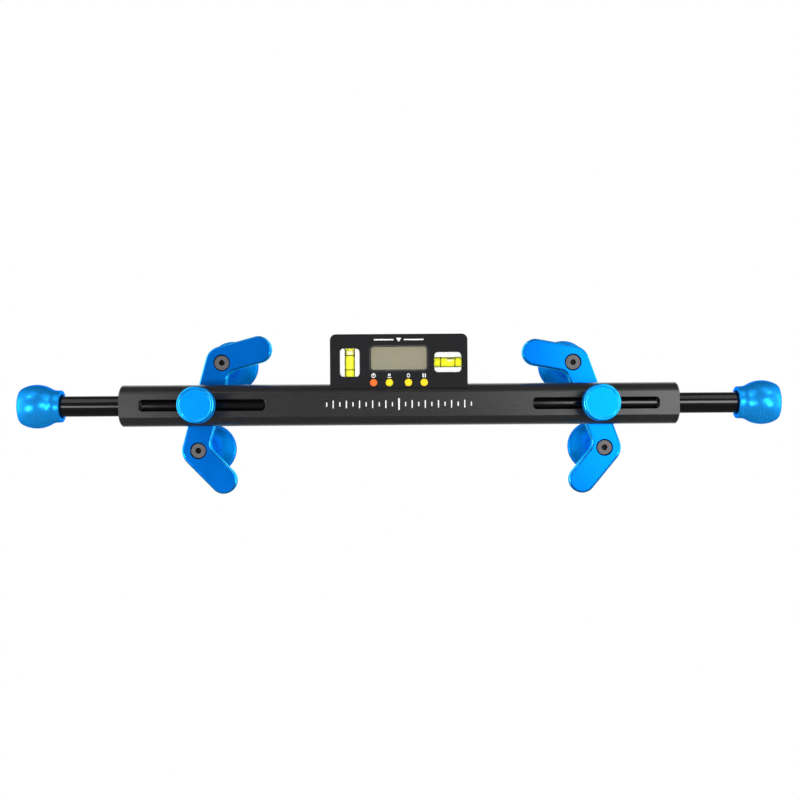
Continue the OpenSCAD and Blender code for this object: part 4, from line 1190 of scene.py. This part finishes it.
def cross_screw(name, head_r, head_h, shank_r, length):
    """Pan head screw with a cross recess, head outwards along +Y and its top at y = 0."""
    outline = soften([
        (0, -length - head_h), (shank_r, -length - head_h), (shank_r, -head_h), (head_r, -head_h),
        (head_r, 0, head_h * 0.6), (0, 0),
    ], 5)
    screw = lathe(name, outline, facing_back(0, 0, 0), 40)
    blade = box_loop(0, 0, head_r * 0.6, head_r * 0.16, 0.05, steps=2)
    levels = [(head_r * 0.12, -head_h * 0.6), (0, 0.5)]
    return carve(screw, *[
        slab("blade", blade, levels, Matrix.Rotation(math.radians(turn), 4, "Y")) for turn in (0, 90)
    ])


def case_screws():
    """Four screws in the corners of the back: two rows of the row tree."""
    x0, x1 = screw_lines(0)
    top, head_h, shank_r = high("case_screws", 1), 1.7, 1.25
    length = top - low("case_screws", 1) - head_h
    rows = []
    for z in screw_lines(2):
        screw = cross_screw("screw", CASE_SCREW_R, head_h, shank_r, length)
        rows.append(row_of("screw_row", screw, 2, (x0, top, z), (x1 - x0, 0, 0), "screw_dark"))
    return finish_piece(join("corner_screws", *rows), "screw_dark", "case_screws")


def door_screw():
    x, _, z = middle("door_screw")
    top, head_r, head_h, shank_r = high("door_screw", 1), 1.7, 0.8, 0.8
    screw = cross_screw("screw", head_r, head_h, shank_r, top - low("door_screw", 1) - head_h)
    made = row_of("cover_screw", screw, 1, (x, top, z), (0, 0, 0), "steel")
    return finish_piece(made, "steel", "door_screw")


def display():
    """Clear window with a black printed border, over the display."""
    front, rear = low("lcd_window", 1), high("lcd_window", 1)
    half_w, half_h = high("lcd_window", 0), high("lcd_window", 2) - LCD_Z
    corner = LCD_CORNER + LCD_RIM - 0.1
    window = slab("display_window", box_loop(0, LCD_Z, half_w, half_h, corner),
                  edge_levels(front, rear, 0.06, 0, 2))
    finish_piece(window, "lcd_clear", "lcd_window")
    thickness, inset = 0.06, 0.1
    back = rear - 0.02
    border = slab("display_border", box_loop(0, LCD_Z, half_w - inset, half_h - inset, corner - inset),
                  [(0, back - thickness), (0, back)])
    hole = slab("hole", box_loop(0, LCD_Z, LCD_HALF_W, LCD_HALF_H, LCD_CORNER), through(rear, rear))
    finish_piece(carve(border, hole), "window_black", like="level_front_shell")
    _, _, half_w, half_h = front_view("lcd_panel")
    panel = slab("display_panel", box_loop(0, LCD_Z, half_w, half_h, 0.3),
                 edge_levels(low("lcd_panel", 1), high("lcd_panel", 1), 0.1, 0.1, 2))
    finish_piece(panel, "lcd_face", "lcd_panel")


def button(node, finish):
    """Domed cap, its ears and the stem that works its switch."""
    x, z = middle(node)[0], SEAT_Z + 4.9
    front, rear = low(node, 1), high(node, 1)
    stem_r, dome_r, ear_t = 1.5, 12, 0.8
    cap_rear = CASE_INNER_Y + 0.05
    cap_h = cap_rear - front
    crown = arc(0, dome_r, dome_r, -90, -90 + math.degrees(math.asin((KEY_R - 0.6) / dome_r)), 8)
    outline = [(0, 0)] + crown[1:]
    outline += soften([crown[-1], (KEY_R, crown[-1][1] + 0.05, 0.45), (KEY_R, cap_h), (stem_r, cap_h),
                       (stem_r, rear - front), (0, rear - front)], 4)[1:]
    cap = lathe(f"{node}_cap", outline, facing_back(x, front, z), 64)
    ears = slab("ears", box_loop(x, z, 4.5, stem_r, 0.3),
                edge_levels(cap_rear, cap_rear + ear_t, 0.1, 0.1, 2))
    finish_piece(join(f"{node}_key", cap, ears), finish, node)


def upright_filling(half, axis):
    """Dye up to a hollow surface, and the air above it."""
    top = half - BUBBLE_LEN
    dye = soften([(0, VIAL_PLUG - half), (DYE_R, VIAL_PLUG - half, 0.2), (DYE_R, top)], 3)
    dye += [(DYE_R * 0.8, top - 0.35), (DYE_R * 0.4, top - 0.6), (0, top - 0.65)]
    air = soften([(0, top - 0.6), (DYE_R * 0.6, top - 0.4), (DYE_R - 0.1, top + 0.4, 0.5),
                  (DYE_R - 0.1, half - VIAL_PLUG - 0.2, 1.0), (0, half - VIAL_PLUG)], 6)
    return lathe("upright_dye", dye, axis, 64), lathe("upright_bubble", air, axis, 64)


def level_filling(half, axis, centre):
    """Dye from plug to plug, with a bubble that lies against the tube in front and above."""
    dye = lathe("level_dye", soften([
        (0, VIAL_PLUG - half), (DYE_R, VIAL_PLUG - half, 0.2), (DYE_R, half - VIAL_PLUG, 0.2),
        (0, half - VIAL_PLUG),
    ], 3), axis, 64)
    bubble_r, reach, tube_r = 1.75, BUBBLE_LEN / 2, VIAL_R - VIAL_WALL - 0.01
    cigar = [(bubble_r * math.sin(math.radians(a)) ** 0.75, -reach * math.cos(math.radians(a)))
             for a in range(0, 181, 9)]
    cigar[0], cigar[-1] = (0, -reach), (0, reach)
    spot = Matrix.Translation((BUBBLE_X, -1.9, 1.5)) @ Matrix.Rotation(math.radians(90), 4, "Y")
    bubble = lathe("level_bubble", cigar, spot, 40)
    for vert in bubble.data.vertices:
        out = math.hypot(vert.co[1], vert.co[2]) / MM
        if out > tube_r:
            vert.co[1] *= tube_r / out
            vert.co[2] *= tube_r / out
    bubble.data.transform(Matrix.Translation(centre.translation * MM))
    # A dark strip along the top of the level bubble is painted shade, where the tube darkens the bubble's
    # rim.
    line = slab("bubble_line", box_loop(BUBBLE_X, 2.6, 2.5, 0.5, 0.2), [(0, -2.3), (0, -1.2)], centre)
    finish_piece(line, "print_black", like="level_liquid")
    return dye, bubble


def vial(kind, x, length, turned):
    """Tube, filling, printed bands and white seat of one vial; turned takes it from lying to its stand."""
    length -= 2 * HOLDER_GAP
    half = length / 2
    inner = VIAL_R - VIAL_WALL
    centre = Matrix.Translation((x, VIAL_Y, VIAL_Z))
    along_x = centre @ turned
    axis = along_x @ Matrix.Rotation(math.radians(90), 4, "Y")
    tube = lathe(f"{kind}_tube", soften([
        (inner, 0), (inner, -half, 0.2), (VIAL_R, -half, 0.3), (VIAL_R, half, 0.3), (inner, half, 0.2),
        (inner, 1),
    ], 3), axis, 72)
    finish_piece(tube, "vial_clear", f"{kind}_vial")
    upright = kind == "upright"
    dye, air = upright_filling(half, axis) if upright else level_filling(half, axis, centre)
    finish_piece(dye, "vial_yellow", f"{kind}_liquid")
    finish_piece(air, "bubble_clear", like=f"{kind}_liquid")
    band_gap, band_half, ink = 10.9, 0.3, 0.03
    print_line = [(VIAL_R, -band_half - 0.02), (VIAL_R + ink, -band_half),
                  (VIAL_R + ink, band_half), (VIAL_R, band_half + 0.02)]
    band = lathe("band", print_line, Matrix.Rotation(math.radians(90), 4, "Y"), 72)
    step = Vector((0, 0, band_gap) if upright else (band_gap, 0, 0))
    if upright:
        band.data.transform(Matrix.Rotation(math.radians(90), 4, "Y"))
    bands = row_of(f"{kind}_bands", band, 2, centre.translation - step / 2, step, "print_black")
    finish_piece(bands, "print_black", like=f"{kind}_vial")
    seat(kind, length, along_x)


def seat(kind, length, along_x):
    """White seat: a block in the window, a lip behind the front, and the groove that the vial lies in."""
    front = LEVEL_FRONT_Y + 1.2 - VIAL_Y
    inner = CASE_INNER_Y - VIAL_Y
    rear = high(f"{kind}_vial_holder", 1) - VIAL_Y
    lip, edge, play = 1.2, 0.15, 0.05
    half, groove_r = length / 2, VIAL_R + play
    block = slab(f"{kind}_seat",
                 box_loop(0, 0, half, VIAL_WINDOW_W / 2 - HOLDER_GAP, WINDOW_R - HOLDER_GAP),
                 [(edge, front), (0, front + edge), (0, inner), (-lip, inner), (-lip, rear)], along_x)
    groove = slab("groove", box_loop(0, 0, half + play, groove_r, 0.02),
                  [(0, -VIAL_R - 2 * PAST), (0, 0)], along_x)
    trough = cylinder("trough", groove_r, -half - play, half + play,
                      along_x @ Matrix.Rotation(math.radians(90), 4, "Y"), 64)
    finish_piece(carve(block, groove, trough), "holder_white", f"{kind}_vial_holder")


# Printed marks

def mark(loop, y, thickness=0.05):
    """Thin print on a face that looks to the front."""
    return slab("mark", loop, [(0.04, y - thickness), (0, y - thickness / 2), (0, y + 0.02)])


def stroke(x, z, half_w, half_h, y, corner=0.1):
    """A printed line with eased corners."""
    return mark(box_loop(x, z, half_w, half_h, corner, steps=2), y)


def hollow_mark(outer, inner, y):
    return carve(mark(outer, y), slab("hole", inner, through(y, y)))


def bar_scale():
    """Plain scale on the bar's front flat below the level: short ticks, longer every ten."""
    rows = []
    for half_h, first, count in ((1.6, -55, 12), (2.9, -50, 5), (2.9, 10, 5)):
        tick = stroke(0, 0, 0.45, half_h, -FLAT_Y)
        rows.append(row_of("ticks", tick, count, (first, 0, 0), (10, 0, 0), "print_white"))
    rows.append(stroke(0, 0, 0.6, 4.4, -FLAT_Y))
    finish_piece(join("bar_scale", *rows), "print_white", like="bar")


def key_signs():
    """A sign over each button: power, degrees, zero and hold."""
    y = LEVEL_FRONT_Y
    z = SEAT_Z + 10.2
    power, degrees, zero, hold = [middle(node)[0] for node in KEYS]
    signs = [
        hollow_mark(round_loop(power, z, 1.65, 32), round_loop(power, z, 1.05, 32), y),
        stroke(power, z + 1.05, 0.33, 1.05, y - 0.03, 0.05),
        hollow_mark(round_loop(degrees, z + 0.55, 1.05, 32), round_loop(degrees, z + 0.55, 0.5, 32), y),
        stroke(degrees, z - 1.35, 1.6, 0.28, y, 0.05),
        stroke(hold - 0.85, z, 0.42, 1.55, y, 0.05),
        stroke(hold + 0.85, z, 0.42, 1.55, y, 0.05),
        hollow_mark(box_loop(zero, z, 1.15, 1.6, 1.1), box_loop(zero, z, 0.58, 1.03, 0.55), y),
    ]
    finish_piece(join("key_signs", *signs), "print_white", like="level_front_shell")


def top_mark():
    """Centre mark over the display: a small triangle between two lines."""
    y = LEVEL_FRONT_Y
    z = LCD_Z + LCD_HALF_H + 5.4
    half_w, up, down = 2.0, 1.4, 1.7

    def triangle(inset):
        return [(inset - half_w, z + up - inset), (0, z - down + inset), (half_w - inset, z + up - inset)]

    lines = [stroke(side * 11.5, z, 7.5, 0.5, y) for side in (-1, 1)]
    finish_piece(join("centre_mark", mark(triangle, y), *lines), "print_white", like="level_front_shell")


# Nodes that keep their own shape

KEPT = {
    "spring_anchor_pin": "steel", "left_spring_pin": "steel", "right_spring_pin": "steel",
    "level_screws": "steel", "vial_plugs": "vial_yellow", "circuit_board": "board_green",
    "board_chips": "chip_black", "board_screws": "steel", "key_switches": "steel",
    "batteries": "battery_wrap", "battery_contacts": "steel",
}


def build():
    bar()
    for side, name in SIDE_NAME.items():
        pull_rod(side)
        ball_knob(side)
        thumb_knob(side)
        ring(f"{name}_steel_washer", f"{name}_front_washer", "steel", 0.2)
        ring(f"{name}_pad", f"{name}_friction_washer", "rubber", 0.15)
        clamp_bolt(side)
        bracket_plate(side)
        for half in (-1, 1):
            spool(side, half)
        spool_screws(side)
        spring(side)
    case_front()
    case_back()
    battery_door()
    case_screws()
    door_screw()
    display()
    for node in KEYS:
        button(node, "button_orange" if node == "power_button" else "button_yellow")
    vial("upright", -VIAL_X, UPRIGHT_WINDOW_LEN, Matrix.Rotation(math.radians(-90), 4, "Y"))
    vial("level", VIAL_X, LEVEL_WINDOW_LEN, Matrix())
    bar_scale()
    key_signs()
    top_mark()
    for node, finish in KEPT.items():
        paint(frame["nodes"][node], finish)


# Camera, light and floor

ROOM = 0.13


def camera():
    """The photograph's view: straight on from 0.9 m, turned a little about its axis."""
    data = bpy.data.cameras.new("camera")
    data.lens = 53.448
    data.sensor_width = 36
    data.shift_x = -0.01306
    data.shift_y = 0.03002
    obj = put("camera", data)
    obj.location = (0.0086, -0.916, -0.0152)
    obj.rotation_euler = (math.radians(90), math.radians(0.3622), 0)
    bpy.context.scene.camera = obj


def softbox(name, spot, width, height, power, aim=(0, 0, 0)):
    """Area lamp at spot, in metres, turned to face aim."""
    data = bpy.data.lights.new(name, "AREA")
    data.shape = "RECTANGLE"
    data.size = width
    data.size_y = height
    data.energy = power
    obj = put(name, data)
    obj.location = spot
    obj.rotation_euler = (Vector(aim) - Vector(spot)).to_track_quat("-Z", "Y").to_euler()
    obj.visible_camera = False


def light():
    """Keys and spots for the ball knobs, walls beside, soft light above and behind, two front panels."""
    for side, name in SIDE_NAME.items():
        ball = (side * 0.275, 0, 0)
        softbox(f"{name}_key", (side * 0.838, -1.06, -0.24), 0.13, 0.13, 5.0, ball)
        softbox(f"{name}_spot", (side * 0.905, -0.795, 1.10), 0.22, 0.22, 1.2, ball)
        softbox(f"{name}_wall", (side * 1.8, -0.25, 0.15), 1.0, 1.4, 8)
        softbox(f"{name}_top", (side * 0.85, -0.82, 1.5), 1.0, 1.3, 4.0)
    softbox("rear_fill", (0, 2.4, 0.9), 3.0, 2.0, 16)
    softbox("left_panel", (-1.03, -2.0, -0.2), 0.70, 0.60, 6.0)
    softbox("right_panel", (0.83, -2.0, 0.2), 0.94, 0.80, 12.6)


def studio(tree, emitter, side, back):
    """White for camera rays; glossy and transmitted rays see it behind and beside, else a dim room.

    side and back say how far a ray heads sideways and away from the camera, from -1 to 1.
    """
    camera_ray, glossy, passing = tree.outs(
        tree.node("ShaderNodeLightPath"), "Is Camera Ray", "Is Glossy Ray", "Is Transmission Ray"
    )
    behind = tree.rise(back, 0.60, 0.97, ROOM)
    beside = tree.rise(abs(side), 0.40, 0.80, ROOM)
    strength = camera_ray.maths("MAXIMUM", behind.maths("MAXIMUM", beside))
    white = tree.node(emitter, inputs={"Color": rgb(1, 1, 1), "Strength": strength})
    return glossy.maths("MAXIMUM", passing), camera_ray, white


def world():
    sky = bpy.data.worlds.new("studio")
    sky.use_nodes = True
    bpy.context.scene.world = sky
    sky.node_tree.nodes.clear()
    tree = Tree(sky.node_tree)
    plain = tree.node("ShaderNodeBackground", inputs={"Color": rgb(1, 1, 1), "Strength": 0.09})
    side, back, _ = tree.split(tree.node("ShaderNodeTexCoord", out="Generated"))
    mirrored, camera_ray, white = studio(tree, "ShaderNodeBackground", side, back)
    end = sky.node_tree.nodes.new("ShaderNodeOutputWorld")
    seen = mirrored.maths("MAXIMUM", camera_ray)
    mixed = tree.node("ShaderNodeMixShader", inputs={0: seen, 1: plain, 2: white})
    sky.node_tree.links.new(mixed.socket, end.inputs[0])


def floor():
    """Pale floor below the object; it keeps the shadow there and is white further off."""
    height, half = -0.55, 4.0
    bm = bmesh.new()
    bmesh.ops.create_grid(bm, x_segments=12, y_segments=12, size=half)
    bm.transform(Matrix.Translation((0, 0, height)))
    obj = put_mesh("floor", bm)
    finish = Finish("floor_pale", Roughness=0.8, Specular_IOR_Level=0.1)
    x, y, _ = finish.axes()
    grain = finish.noise(finish.place(), 25.0, 3.0)
    finish.feed(Base_Color=finish.mix(grain, rgb(0.80, 0.80, 0.80), rgb(0.83, 0.83, 0.83)))
    far = (x * x * 4.0 + y * y * 9.0).maths("SQRT")
    fade = finish.rise(far, 0.45, 1.15)
    near = (x * x + y * y + height ** 2).maths("INVERSE_SQRT")
    side = (abs(x) - 0.3).maths("MAXIMUM", 0.0)
    plain = Signal(finish, finish.shader.outputs[0])
    mirrored, camera_ray, white = studio(finish, "ShaderNodeEmission", side * near, y * near)
    seen = mirrored.maths("MAXIMUM", fade * camera_ray)
    mixed = finish.node("ShaderNodeMixShader", inputs={0: seen, 1: plain, 2: white})
    end = finish.tree.nodes["Material Output"]
    finish.tree.links.new(mixed.socket, end.inputs[0])
    obj.data.materials.append(finish.material)


camera()
light()
world()
floor()
build()
bpy.context.scene.view_settings.view_transform = "Standard"
bpy.context.view_layer.update()
